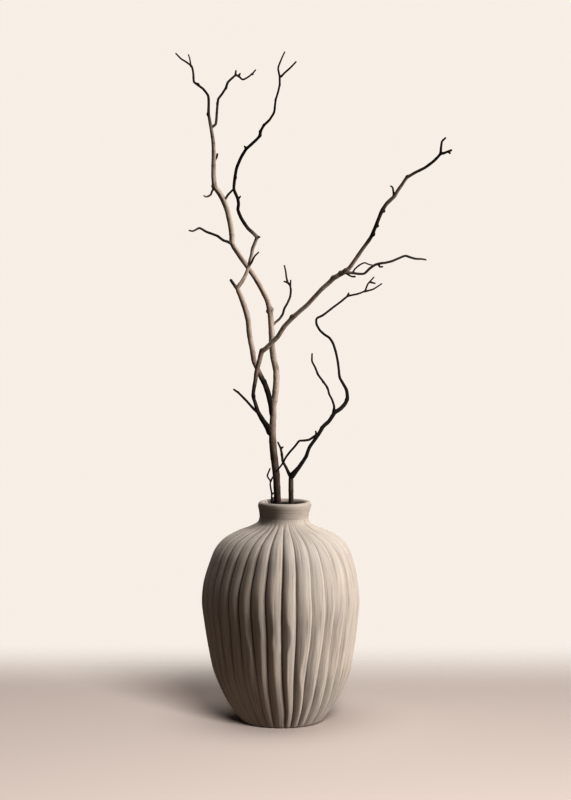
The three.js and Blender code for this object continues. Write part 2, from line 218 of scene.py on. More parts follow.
# %% [markdown]
# ## The ribs
#
# While the clay was still soft, someone pressed a tool up the wall from the foot to the neck, again
# and again. Each rib lies between two such creases, and no two are alike: the creases lean and wander,
# and below the belly the crest of a rib runs from side to side in slow waves. A vase with even ribs
# would be easy, one curve repeated round, but it would look cast, so the creases and crests keep the
# places they have at the front, and a seeded draw carries on with the same unevenness at the back.
#
# A row of the table is one crease: its angle in degrees, from the front to the right, at each of five
# heights. The pressure is how deep the tool's edge cut into it. The back creases fill the gap that the
# front ones leave at the shoulder.

# %% Where the creases run
CREASE_HEIGHTS = [25, 60, 130, 205, 255]
FRONT_CREASES = [
    [-80, -80, -80, -80.5, -81], [-71, -71, -70.5, -71.5, -72], [-61, -60.5, -60, -61, -62],
    [-52, -53, -52.6, -52, -52], [-41.8, -43, -42, -41.8, -40.4], [-31.4, -33, -32.8, -32.2, -29.4],
    [-20.8, -20.8, -22, -22.4, -20.6], [-10.8, -11.4, -10.6, -11.3, -10.9], [3.8, 1.4, 0.6, 1, 0.5],
    [12.2, 10.6, 11.2, 11.4, 10.8], [21.8, 19.6, 22.8, 23, 22.6], [31.8, 30.8, 33.8, 34.4, 32.2],
    [45.6, 42.6, 42, 45.3, 43], [58, 53.4, 54.6, 57.8, 54], [67.5, 63, 64, 69.5, 67],
    [77, 73.8, 76.5, 80, 79], [88, 85, 87, 90, 90],
]  # fmt: skip
FRONT_PRESSURE = [
    0.7, 0.6, 0.8, 0.7, 0.9, 1, 1, 1, 1, 0.65, 0.25, 0.15, 0.25, 0.3, 0.3, 0.35, 0.5,
]  # fmt: skip
SHOULDER = CREASE_HEIGHTS.index(205)
BACK_CREASES, BACK_CREASE_JITTER = 16, 1.6
BACK_PRESSURE, BACK_PRESSURE_SWING = 0.65, 0.3
CREASE_SEED, PRESSURE_SEED = 11, 23
DRAW_MODULUS, DRAW_FACTOR = 2147483647, 48271


def back_draws(count, state):
    """Repeatable draws between -1 and 1, each state from the one before: a product's remainder."""
    drawn = []
    for _ in range(count):
        state = (state * DRAW_FACTOR) % DRAW_MODULUS
        drawn.append(2 * state / DRAW_MODULUS - 1)
    return np.array(drawn)


front = np.array(FRONT_CREASES, float)
last_front, first_again = front[-1, SHOULDER], front[0, SHOULDER] + 360
pitch = (first_again - last_front) / (BACK_CREASES + 1)
draws = back_draws(BACK_CREASES * len(CREASE_HEIGHTS), CREASE_SEED)
draws = draws.reshape(BACK_CREASES, -1)[:, ::-1]
back = last_front + pitch * np.arange(1, BACK_CREASES + 1)[:, None] + BACK_CREASE_JITTER * draws
creases = np.vstack([front, back, front[:1] + 360])
ribs = len(creases) - 1
back_pressure = BACK_PRESSURE + BACK_PRESSURE_SWING * back_draws(BACK_CREASES, PRESSURE_SEED)
pressure = np.concatenate([FRONT_PRESSURE, back_pressure, FRONT_PRESSURE[:1]])
print(ribs, "ribs,", round(360 / ribs, 1), "degrees each")

# %% [markdown]
# A crest is not always halfway between its two creases. Where it sits is given as a share of the way
# across the rib, for the three ribs in the middle of the front at ten heights. The other crests
# wander by two waves each, 120 and 53 mm long, little at the shoulder and more below the belly.

# %% Crests across the ribs
CREST_HEIGHTS = [25, 65, 95, 110, 125, 140, 155, 170, 200, 245]
FRONT_CRESTS = {
    6: [0.5, 0.5, 0.55, 0.56, 0.57, 0.6, 0.55, 0.57, 0.5, 0.45],
    7: [0.5, 0.5, 0.46, 0.44, 0.37, 0.47, 0.44, 0.37, 0.35, 0.45],
    8: [0.35, 0.33, 0.38, 0.4, 0.6, 0.6, 0.4, 0.4, 0.45, 0.5],
}
CREST_WANDER_HEIGHTS = [0, 40, 130, 200, 260]
CREST_WANDER = [0.03, 0.1, 0.09, 0.04, 0.0]
CREST_PLACE = 0.6
LONG_WAVE, SHORT_WAVE, SHORT_SHARE = 120, 53, 0.6
CREST_SEED = 5

wander = np.interp(row_height, CREST_WANDER_HEIGHTS, CREST_WANDER)[:, None]
wave_starts = np.random.default_rng(CREST_SEED).uniform(0, 2 * math.pi, (2, ribs))
long_wave = np.sin(row_height[:, None] * 2 * math.pi / LONG_WAVE + wave_starts[0])
short_wave = np.sin(row_height[:, None] * 2 * math.pi / SHORT_WAVE + wave_starts[1])
crest_share = CREST_PLACE + wander * (long_wave + SHORT_SHARE * short_wave)
crest_reading = np.clip(row_height, CREST_HEIGHTS[0], CREST_HEIGHTS[-1])
for rib, shares in FRONT_CRESTS.items():
    crest_share[:, rib] = through(CREST_HEIGHTS, shares, crest_reading)[:, 0]
crest_share = np.where(outside[:, None], crest_share, 0.5)
print("crests lie between", crest_share.min().round(2), "and", crest_share.max().round(2), "across")

# %% [markdown]
# Across a rib the wall falls away from the crest on both sides. How fast is a power of the distance:
# at the shoulder the power is high, so the rib is a broad soft cushion, and lower down it is near
# one, so that two almost flat flanks meet in a clear ridge. The tool's edge left a narrow groove
# along each crease. Some creases are shallow: a few low down on the left, and a few high up on the
# right. The two lists of depths say what share of the full depth each crease keeps, below 70 mm and
# above 150 mm. The grid's columns follow the crests and crowd towards the creases, because a crease
# that falls between two columns would come out jagged.

# %% How far the wall lies behind its outline
FLANK_STEPS = [1, 0.95, 0.83, 0.62, 0.38, 0.16]
SWELL_HEIGHTS = [0, 8, 25, 60, 110, 150, 200, 225, 250, 264, 274]
SWELL_DEPTHS = [1.0, 2.2, 3.2, 3.8, 4.0, 3.8, 3.1, 2.7, 2.0, 1.1, 0]
GROOVE_HEIGHTS = [0, 8, 60, 225, 262, 273]
GROOVE_DEPTHS = [0.5, 1.2, 1.4, 1.8, 1.7, 0]
GROOVE_WIDTH = 1.1
DEPTH_HEIGHTS = (70, 150)
LOW_DEPTHS = [1, 0.9, 0.7, 0.55, 0.5, 0.5, 0.65, 0.9, 1, 1, 1, 1, 1, 1, 1, 1, 1]
HIGH_DEPTHS = [1, 1, 1, 1, 1, 1, 1, 1, 1, 0.85, 0.65, 0.6, 0.8, 0.85, 0.8, 0.9, 1]
BACK_DEPTH = 0.9
ROUND_HEIGHTS = [0, 25, 60, 125, 160, 215, 260]
ROUND_POWERS = [2.0, 1.6, 1.4, 1.4, 1.55, 1.9, 2.0]


def at_rows(heights, values):
    """A value given at a few heights, read at every row and kept as a column for broadcasting."""
    return np.interp(row_height, heights, values)[:, None, None]


down_flank = np.array(FLANK_STEPS + [0.0] + FLANK_STEPS[:0:-1])
on_left = np.arange(len(down_flank)) < len(FLANK_STEPS)
crest = crest_share[:, :, None]
share = np.where(on_left, crest * (1 - down_flank), crest + (1 - crest) * down_flank)

height_in_ribs = np.clip(row_height, CREASE_HEIGHTS[0], CREASE_HEIGHTS[-1])
edges = through(CREASE_HEIGHTS, creases.T, height_in_ribs)
rib_width = np.diff(edges, axis=1)[:, :, None]
azimuth = np.radians(edges[:, :-1, None] + rib_width * share)
side_share = np.where(on_left, crest, 1 - crest)
to_crease = (1 - down_flank) * side_share * np.radians(rib_width) * row_radius[:, None, None]

above_belly = np.interp(row_height, DEPTH_HEIGHTS, (0, 1))[:, None]
back_depths = [BACK_DEPTH] * BACK_CREASES
low_depth, high_depth = (np.array(d + back_depths + d[:1]) for d in (LOW_DEPTHS, HIGH_DEPTHS))
crease_depth = low_depth + (high_depth - low_depth) * above_belly
depth = np.where(on_left, crease_depth[:, :-1, None], crease_depth[:, 1:, None])
roundness = at_rows(ROUND_HEIGHTS, ROUND_POWERS)
swell = at_rows(SWELL_HEIGHTS, SWELL_DEPTHS) * depth * down_flank**roundness
pressed = depth * np.where(on_left, pressure[:-1, None], pressure[1:, None])
groove = at_rows(GROOVE_HEIGHTS, GROOVE_DEPTHS) * pressed * np.exp(-((to_crease / GROOVE_WIDTH) ** 2))
relief = np.where(outside[:, None, None], swell + groove, 0)
print("a crease is up to", round(float(relief.max()), 1), "mm behind the outline")

# %% [markdown]
# No thrown wall is quite round. This one swings by less than a millimetre, and the neck shows the
# rings that the potter's fingers left. A noise texture on a Displace modifier could do the same, but
# it would move the foot and the lip too, and here the swings fade out before they reach them. The
# rim also stands a few millimetres to the right of the foot, so the middle of each row is shifted.

# %% The wall of the vase as one surface
UNEVEN_HEIGHTS, UNEVEN_SHARES = [0, 20, 250, 275], [0, 1, 1, 0]
UNEVEN_WAVES, UNEVEN_SIZE, UNEVEN_SEED = 6, 0.8, 3
UNEVEN_TURNS, UNEVEN_TILT = (1, 6), 0.05
RINGS_FROM, LIP_LENGTH = 275, 9
RING_DEPTHS, RING_TURNS = (0.1, 0.08), (2.9, 1.7)
MIDDLE_HEIGHTS = [60, 165, 190, 215, 250, 275, 300]
MIDDLE_SHIFTS = [0, -1.5, -1.6, -0.3, 1, 2.4, 4]


def unevenness(around, height):
    """The small swings of a hand-thrown wall: six slow waves round and up it, added together."""
    draw = np.random.default_rng(UNEVEN_SEED)
    turns = draw.integers(*UNEVEN_TURNS, UNEVEN_WAVES)
    tilt = draw.uniform(-UNEVEN_TILT, UNEVEN_TILT, UNEVEN_WAVES)
    start = draw.uniform(0, 2 * math.pi, UNEVEN_WAVES)
    waves = [np.sin(n * around + f * height + s) for n, f, s in zip(turns, tilt, start)]
    return UNEVEN_SIZE * sum(waves) / UNEVEN_WAVES


heights = row_height[:, None, None]
reach = row_radius[:, None, None] - relief
body_share = at_rows(UNEVEN_HEIGHTS, UNEVEN_SHARES) * outside[:, None, None]
reach = reach + body_share * unevenness(azimuth, heights)
on_neck = (row_place > neck_start) & (row_height > RINGS_FROM) & (row_place < hollow_start - LIP_LENGTH)
level_rings = RING_DEPTHS[0] * np.sin(heights * RING_TURNS[0])
leaning_rings = RING_DEPTHS[1] * np.sin(heights * RING_TURNS[1] + azimuth)
reach = reach + np.where(on_neck[:, None, None], level_rings + leaning_rings, 0)

middle = at_rows(MIDDLE_HEIGHTS, MIDDLE_SHIFTS)
wall_x, wall_y = middle + reach * np.sin(azimuth), -reach * np.cos(azimuth)
wall = np.stack([wall_x, wall_y, heights + 0 * azimuth], axis=-1).reshape(len(row_height), -1, 3)
vase_mesh = grid_mesh("vase_wall", (0, 0, 0), wall, (0, 0, FLOOR_HEIGHT))
print("vase:", len(vase_mesh.vertices), "points,", 2 * wall.shape[0] * wall.shape[1], "triangles")

# %% [markdown]
# The clay's finish needs to know two things that its place alone doesn't tell: how deep in a crease
# a point lies and how steeply the flank beside it falls, because the shade there is painted into the
# colour, and which way the tool ran, because its fine drag marks follow the ribs. A shader could guess
# the first from the shape, but not the second, so both are kept on the points of the mesh. The painted
# shade value also darkens the neck a little and paints the inside of the mouth almost black, and the
# tool's direction is kept as a place on a plain drum with straight ribs.

# %% Keep the painted shade and the tool's direction
NECK_SHADE, HOLLOW_SHADE, SHADE_BEFORE_HOLLOW = 0.75, 3.0, 22
FLANK_SHADE, FLANK_SHADE_POWER = 0.35, 6
DRUM_RADIUS = 100

# painted shade: the groove's depth and the steep flank beside a crease set how much darker it is painted
painted_shade = groove + FLANK_SHADE * down_flank**FLANK_SHADE_POWER * np.minimum(swell, 1)
# painted shade over the neck, and below it the inside of the mouth painted darkest
painted_shade = np.where(outside[:, None, None], painted_shade, NECK_SHADE)
inside = row_place[:, None, None] > hollow_start - SHADE_BEFORE_HOLLOW
painted_shade = np.where(inside, HOLLOW_SHADE, painted_shade)
rib_turn = np.arange(ribs)[:, None] + share
turn = rib_turn * 2 * math.pi / ribs
upwards = row_place[:, None, None] + 0 * turn
drum_x, drum_y = DRUM_RADIUS * np.sin(turn), -DRUM_RADIUS * np.cos(turn)
along_ribs = np.stack([drum_x, drum_y, upwards], axis=-1)
round_neck = np.stack([upwards, 0 * turn, drum_x], axis=-1)
drag = np.where(outside[:, None, None, None], along_ribs, round_neck).reshape(-1, 3)
ends = np.zeros((1, 3))
keep_on_points(vase_mesh, "painted_shade", "FLOAT", np.concatenate([[0], painted_shade.ravel(), [0]]))
keep_on_points(vase_mesh, "drag", "FLOAT_VECTOR", np.vstack([ends, drag, ends]) * MM)
print("deepest valley value", round(float(painted_shade.max()), 2))

# %% [markdown]
# ## Shader maths as plain sums
#
# A finish is a small sum of patterns: this much darker in a crease, a little redder in a blotch. In
# the node editor such a sum is a dozen boxes and wires. Here a wire knows how to add and multiply,
# so that a mask reads like the sentence that describes it, and each sum adds its own Math node.


# %% A wire that can be used in sums
class Wire:
    """One output socket of a node, for sums with numbers and other wires."""

    def __init__(self, finish, socket):
        self.finish, self.socket = finish, socket

    def _math(self, operation, first, second):
        return self.finish.node("ShaderNodeMath", {"operation": operation}, {0: first, 1: second})

    def __add__(self, other):
        return self._math("ADD", self, other)

    def __radd__(self, other):
        return self._math("ADD", other, self)

    def __sub__(self, other):
        return self._math("SUBTRACT", self, other)

    def __rsub__(self, other):
        return self._math("SUBTRACT", other, self)

    def __mul__(self, other):
        return self._math("MULTIPLY", self, other)

    def __rmul__(self, other):
        return self._math("MULTIPLY", other, self)


# %% [markdown]
# Every other node comes from one method, which takes the node's type, its settings, and a value or a
# wire for each socket. The methods after it are short names for the nodes that these finishes use
# most. Written out in full, each finish would be a page of boxes and links.


# %% One set of nodes, and short names for them
class Finish:
    """The nodes of one material, or of the room, with the calls that all of them are written in."""

    def __init__(self, holder):
        holder.use_nodes = True
        self.material, self.tree = holder, holder.node_tree
        self.shader = self.tree.nodes.get("Principled BSDF")

    def node(self, kind, settings=None, sockets=None, output=0):
        """Adds a node: its settings first, then a value or a wire for each socket that is named."""
        made = self.tree.nodes.new(kind)
        for name, value in (settings or {}).items():
            setattr(made, name, value)
        for name, value in (sockets or {}).items():
            self.feed(made.inputs[name], value)
        return Wire(self, made.outputs[output])

    def feed(self, socket, value):
        """Links a wire to the socket, or sets a plain value on it."""
        if isinstance(value, Wire):
            self.tree.links.new(value.socket, socket)
        else:
            socket.default_value = value

    def kept(self, name, output):
        """What a mesh keeps on its points: output 1 is a vector, and output 2 a number."""
        return self.node("ShaderNodeAttribute", {"attribute_name": name}, output=output)

    def place(self):
        """Where the point is in the object's own space, which is output 3."""
        return self.node("ShaderNodeTexCoord", output=3)

    def noise(self, vector, scale, detail=2.0, rough=0.5):
        """Cloudy noise from 0 to 1, with `scale` clouds to the metre."""
        sockets = {"Vector": vector, "Scale": scale, "Detail": detail, "Roughness": rough}
        return self.node("ShaderNodeTexNoise", None, sockets)

    def stretched(self, vector, x, y, z):
        """The same coordinates with each axis stretched by its own factor."""
        return self.node("ShaderNodeVectorMath", {"operation": "MULTIPLY"}, {0: vector, 1: (x, y, z)})

    def step(self, value, low, high):
        """A soft step: 0 below low, 1 above high, and an S-curve between them."""
        settings = {"interpolation_type": "SMOOTHSTEP", "clamp": True}
        sockets = {"Value": value, "From Min": low, "From Max": high}
        return self.node("ShaderNodeMapRange", settings, sockets)

    def blend(self, mask, first, second):
        """The first colour where the mask is 0, and the second where it is 1.

        A Mix node has sockets for each kind of value: 6, 7 and output 2 are the ones for colours.
        """
        colours = [(*c, 1.0) if isinstance(c, tuple) else c for c in (first, second)]
        sockets = {0: mask, 6: colours[0], 7: colours[1]}
        return self.node("ShaderNodeMix", {"data_type": "RGBA"}, sockets, output=2)

    def bump(self, height, depth):
        """The normal of a surface whose height swings by `depth` millimetres."""
        return self.node("ShaderNodeBump", None, {"Height": height, "Distance": depth * MM})

    def dress(self, colour, roughness, normal):
        """Feeds the shader, and gives the finished material."""
        self.feed(self.shader.inputs["Base Color"], colour)
        self.feed(self.shader.inputs["Roughness"], roughness)
        self.feed(self.shader.inputs["Normal"], normal)
        return self.material


# %% [markdown]
# ## Unglazed stoneware
#
# The clay is a dull grey-beige with nothing on it. Close up it has a fine sandy grain, faint drag
# marks along the ribs where the tool pulled the wet slip, and slow cloudy patches from the kiln. The
# shade is painted on top: a darker line at the bottom of each crease and on the flank beside it, a
# little over the neck, and the inside of the mouth almost black. A single colour with some noise
# would miss the drag marks, which are what makes the light break up softly along a rib. Each noise
# below has its number of clouds to the metre, and the drag marks are drawn out along the tool's
# direction. A mask is a soft step between two values of a noise, times how strong it is.

# %% The clay's finish
CLAY, CLAY_WARM, CLAY_COOL = (0.4, 0.367, 0.333), (0.42, 0.372, 0.323), (0.365, 0.343, 0.318)
# The dark colour darkens the real drag marks and grain, and is also the painted shade of the creases; the
# inside colour is painted shade for the mouth.
CLAY_DARK_MARKS_AND_SHADE, CLAY_WORN, CLAY_PAINTED_MOUTH_SHADE = (0.13, 0.105, 0.085), (0.48, 0.45, 0.4), (0.035, 0.028, 0.023)
PATCHES, SAND, GRAIN = 14, 420, 1100
MARKS, MARKS_DRAWN_OUT = 420, 0.035
FINE_MARKS, FINE_DRAWN_OUT = 1300, 0.02
EVENNESS, WORN_MARKS, DARK_MARKS, DARK_GRAIN, PAINTED_SHADE_STRENGTH = 0.55, 0.45, 0.38, 0.16, 0.7
CLAY_BUMP = 0.35


def stoneware():
    """Each colour goes over the last where its mask is: patches, drag marks, grain, then painted shade in
    the creases, on the neck and in the mouth.
    """
    clay = Finish(bpy.data.materials.new("stoneware_clay"))
    place, along = clay.place(), clay.kept("drag", 1)
    patches = clay.noise(place, PATCHES, 3)
    grain = clay.noise(place, GRAIN, 2, 0.7)
    sand = clay.noise(place, SAND, 3, 0.6)
    marks = clay.noise(clay.stretched(along, 1, 1, MARKS_DRAWN_OUT), MARKS, 3, 0.6)
    fine_marks = clay.noise(clay.stretched(along, 1, 1, FINE_DRAWN_OUT), FINE_MARKS, 2, 0.5)
    painted_shade = clay.kept("painted_shade", 2)
    colour = clay.blend(clay.step(patches, 0.35, 0.65), CLAY_WARM, CLAY_COOL)
    colour = clay.blend(EVENNESS, colour, CLAY)
    colour = clay.blend(clay.step(marks, 0.5, 0.68) * WORN_MARKS, colour, CLAY_WORN)
    colour = clay.blend(clay.step(marks, 0.5, 0.32) * DARK_MARKS, colour, CLAY_DARK_MARKS_AND_SHADE)
    colour = clay.blend(clay.step(grain, 0.6, 0.78) * DARK_GRAIN, colour, CLAY_DARK_MARKS_AND_SHADE)
    # painted shade: the creases, their flanks and the neck are darkened by the stored shade value
    colour = clay.blend(clay.step(painted_shade, 0.3, 1.7) * PAINTED_SHADE_STRENGTH, colour, CLAY_DARK_MARKS_AND_SHADE)
    # painted shade: the inside of the mouth is painted almost black
    colour = clay.blend(clay.step(painted_shade, 2.3, 2.9), colour, CLAY_PAINTED_MOUTH_SHADE)
    height = grain * 0.35 + sand * 0.3 + marks * 0.9 + fine_marks * 0.35
    return clay.dress(colour, 0.84 + 0.12 * sand, clay.bump(height, CLAY_BUMP))


vase = add("ribbed_vase", vase_mesh)
vase_mesh.materials.append(stoneware())
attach(vase, "root")
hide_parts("vase")
print(vase.name, "stands for the CAD node vase")

# %% [markdown]
# ## The two branches, limb by limb
#
# Each limb is a line of points along its middle, in millimetres, with its radius at even steps of its
# length. The tone at even steps says how pale its bark is: thick old wood has shed its dark skin and
# is taupe (near 1), and young twigs are almost black (near 0). The lines could be drawn as curves in
# the viewport, but a written point can be measured, and moved on its own.

# %% The limbs of the large branch
MAIN_LIMBS = {
    "stem": {
        "radii": [4.7, 4.7, 4.6, 4.6, 4.6, 4.5, 4.5, 4.3, 4.6, 4.1, 3.9, 3.8, 3.5, 3.1, 3.1, 3.4, 3.5, 3,
            2.2, 1.6, 1.3, 0.8],
        "tones": [0.25, 0.25, 0.25, 0.26, 0.4, 0.92, 0.95, 0.9, 0.9, 0.8, 0.2, 0.1],
        "points": [(17, 6, 8.7), (6, 12.5, 150), (-6, 19.4, 297), (-8, 23, 333), (-10, 25, 353),
            (-12, 26, 370), (-13, 28, 385), (-13, 29, 398), (-12, 30, 413), (-12, 31, 424),
            (-10, 32, 436), (-8, 33, 458), (-8, 34, 475), (-11, 34, 489), (-13, 35, 504), (-14, 36, 522),
            (-15, 37, 539), (-16, 38, 554), (-20, 39, 570), (-27, 39, 584), (-37, 40, 601),
            (-45, 41, 613), (-55, 42, 627), (-63, 43, 639), (-68, 44, 648), (-68, 45, 657),
            (-70, 47, 672), (-74, 50, 691), (-79, 52, 704), (-85, 54, 715), (-91, 56, 723),
            (-93, 58, 737), (-93, 59, 754), (-93, 61, 775), (-94, 63, 788), (-97, 66, 805),
            (-100, 70, 822), (-101, 74, 848), (-108, 75, 857), (-115, 76, 862), (-120, 77, 866),
            (-121, 78, 877), (-123, 79, 887), (-132, 78, 894), (-137, 77, 897), (-145, 74, 905)],
    },
    "top fork": {
        "radii": [1, 0.7],
        "tones": [0.3, 0.35],
        "points": [(-124, 79, 886), (-126, 82, 898), (-128, 85, 904)],
    },
    "top right limb": {
        "radii": [1.6, 1.5, 1.4, 1.4, 1.1, 0.8],
        "tones": [0.3, 0.25, 0.08, 0.05, 0.05, 0.1],
        "points": [(-97, 66, 803), (-95, 67, 805), (-91, 69, 808), (-89, 73, 823), (-88, 77, 836),
            (-87, 79, 843), (-82, 82, 850), (-77, 84, 858), (-74, 86, 866), (-68, 88, 872),
            (-63, 90, 876), (-59, 92, 874), (-54, 93, 870), (-46, 95, 874), (-40, 97, 879),
            (-36, 99, 884)],
    },
    "left twig": {
        "radii": [1.6, 1.4, 1.3, 0.9],
        "tones": [0.3, 0.12, 0.15, 0.3],
        "points": [(-69, 44, 647), (-73, 42, 649), (-79, 38, 651), (-87, 32, 657), (-102, 22, 663),
            (-111, 15, 668), (-120, 8, 664), (-125, 5, 665)],
    },
    "back twig": {
        "radii": [1.5, 1.1],
        "tones": [0.5, 0.15],
        "points": [(-79, 52, 704), (-73, 50, 713), (-66, 46, 720)],
    },
    "middle limb": {
        "radii": [3.4, 3.3, 3.2, 3.5, 3.4, 3.5, 2.4, 2, 2.1, 2.1, 1.9, 1.8, 1.8, 1.6, 1.3, 1.1, 1.1, 0.7],
        "tones": [0.05, 0.12, 0.3, 0.7, 0.85, 0.9, 0.9, 0.9, 0.9, 1, 1, 0.25, 0.02, 0.05, 0.15, 0.1, 0.08,
            0.05, 0.05, 0.06, 0.08, 0.15, 0.25],
        "points": [(-12, 31, 414), (-16, 30, 432), (-19, 28, 444), (-23, 27, 456), (-28, 25, 466),
            (-32, 24, 475), (-38, 23, 489), (-40, 20, 503), (-44, 18, 524), (-46, 17, 545),
            (-51, 18, 564), (-56, 19, 577), (-60, 20, 587), (-54, 22, 596), (-49, 24, 605),
            (-45, 26, 616), (-43, 26, 625), (-41, 25, 632), (-40, 24, 639), (-36, 21, 649),
            (-34, 19, 655), (-46, 12, 668), (-55, 5, 682), (-59, 0, 693), (-58, -3, 700), (-59, -6, 707),
            (-64, -12, 720), (-63, -15, 732), (-60, -21, 748), (-54, -25, 762), (-47, -29, 773),
            (-39, -32, 780), (-30, -35, 789), (-27, -37, 798), (-24, -39, 803), (-16, -42, 811),
            (-10, -44, 821), (-9, -45, 830), (-8, -46, 837), (-5, -46, 847), (-3, -47, 856),
            (-3, -48, 867), (-5, -46, 878), (-1, -44, 889), (4, -41, 900)],
    },
    "middle fork": {
        "radii": [1.1, 0.8],
        "tones": [0.15, 0.35],
        "points": [(-2, -48, 866), (4, -50, 872), (11, -53, 878), (19, -58, 886)],
    },
    "middle stub": {
        "radii": [2.2, 1.8, 1.8],
        "tones": [0.8, 0.4, 0.1],
        "points": [(-59, 20, 585), (-65, 22, 592), (-70, 24, 599)],
    },
    "crossing twig": {
        "radii": [1.3, 0.8],
        "tones": [0.6, 0.3, 0.2],
        "points": [(-45, 26, 616), (-41, 23, 622), (-37, 18, 630), (-31, 14, 636)],
    },
    "right twig": {
        "radii": [1.5, 1.3, 1.2, 1.1, 0.8],
        "tones": [0.6, 0.15, 0.15, 0.2, 0.4],
        "points": [(-14, 37, 535), (-9, 38, 540), (-4, 40, 544), (1, 45, 551), (3, 48, 558),
            (7, 51, 565), (11, 56, 574), (12, 59, 583), (11, 61, 589), (8, 63, 593), (6, 66, 600),
            (5, 69, 608), (3, 72, 617)],
    },
    "right twig fork": {
        "radii": [1.1, 0.8],
        "tones": [0.2, 0.2],
        "points": [(8, 63, 593), (5, 64, 594), (2, 64, 595)],
    },
    "diagonal limb": {
        "radii": [3.7, 2.8, 2.1, 2.6, 3.1, 3, 3, 2.7, 2.6, 2.9, 2.4, 2.2, 2.1, 2.4, 2, 1.6, 1.5, 0.9],
        "tones": [0.02, 0.15, 0.42, 0.7, 0.78, 0.78, 0.78, 0.75, 0.75, 0.05, 0.6, 0.5, 0.05, 0.08],
        "points": [(-15, 31, 389), (-19, 27, 397), (-26, 20, 408), (-33, 14, 421), (-36, 9, 432),
            (-39, 6, 442), (-38, 4, 452), (-36, 1, 463), (-34, -2, 477), (-30, -5, 492), (-27, -7, 503),
            (-21, -9, 508), (-14, -12, 515), (-6, -14, 523), (3, -18, 537), (14, -22, 549),
            (25, -26, 559), (33, -29, 566), (44, -33, 578), (53, -37, 588), (63, -40, 597),
            (68, -42, 602), (76, -44, 607), (83, -47, 611), (89, -48, 616), (96, -52, 626),
            (106, -57, 641), (117, -62, 657), (122, -66, 669), (127, -70, 682), (131, -73, 692),
            (137, -76, 701), (147, -80, 711), (151, -82, 718), (156, -84, 725), (162, -87, 734),
            (173, -90, 741), (185, -93, 747), (197, -96, 756), (205, -98, 765), (206, -99, 774),
            (207, -101, 781), (212, -103, 786)],
    },
    "diagonal fork": {
        "radii": [1.4, 1.3, 1.2],
        "tones": [0.1, 0.1],
        "points": [(205, -98, 765), (210, -99, 766), (215, -101, 768), (220, -102, 770)],
    },
    "low left twig": {
        "radii": [1.8, 1.4, 1.3, 1.1],
        "tones": [0.06, 0.06],
        "points": [(-30, 15, 417), (-37, 12, 423), (-48, 2, 436), (-59, -8, 448), (-65, -14, 453)],
    },
    "side twig": {
        "radii": [2, 1.3, 1.5, 1.4, 1.3, 1.3, 0.9],
        "tones": [0.4, 0.1, 0.1, 0.12, 0.2],
        "points": [(81, -47, 611), (87, -45, 610), (95, -40, 609), (101, -36, 608), (109, -31, 608),
            (117, -25, 615), (123, -21, 619), (129, -17, 621), (138, -11, 622), (147, -5, 624),
            (157, 2, 628), (166, 8, 631), (172, 12, 629), (179, 16, 627), (191, 24, 626), (195, 26, 625)],
    },
    "side twig upper": {
        "radii": [0.9, 0.8, 0.7],
        "tones": [0.35, 0.35],
        "points": [(94, -41, 610), (96, -43, 614), (100, -46, 618), (104, -48, 621), (109, -48, 623),
            (114, -42, 621), (122, -22, 619)],
    },
    "side twig lower": {
        "radii": [1.2, 0.9, 1],
        "tones": [0.3, 0.3],
        "points": [(84, -46, 610), (88, -50, 607), (92, -54, 605), (97, -58, 605)],
    },
    "mouth twig": {
        "radii": [1.2, 1, 0.9, 0.8],
        "tones": [0.04, 0.04],
        "points": [(-6, 19, 284), (-14, 15, 297), (-14, 16, 308), (-16, 15, 321), (-16, 15, 326),
            (-20, 12, 333), (-18, 10, 339), (-16, 9, 344)],
    },
    "mouth twig fork": {
        "radii": [0.9, 0.9],
        "tones": [0.04, 0.04],
        "points": [(-16, 15, 324), (-13, 17, 330), (-9, 22, 334)],
    },
    "mouth twig upper tie": {
        "radii": [0.8, 0.8],
        "tones": [0.04, 0.04],
        "points": [(-14, 16, 308), (-7, 20, 311)],
    },
    "mouth twig lower tie": {
        "radii": [0.8, 0.8],
        "tones": [0.04, 0.04],
        "points": [(-14, 16, 302), (-7, 20, 303)],
    },
    "curled spur": {
        "radii": [1.1, 1.2, 0.8],
        "tones": [1.6, 1.3],
        "points": [(-92, 56, 722), (-95, 57, 718), (-97, 59, 713), (-100, 60, 711), (-104, 61, 710),
            (-107, 63, 712)],
    },
    "upright spur": {
        "radii": [0.9, 1.3],
        "tones": [0.15, 0.15],
        "points": [(-92, 59, 758), (-89, 61, 763), (-88, 62, 769)],
    },
}  # fmt: skip
print(len(MAIN_LIMBS), "limbs on the large branch")

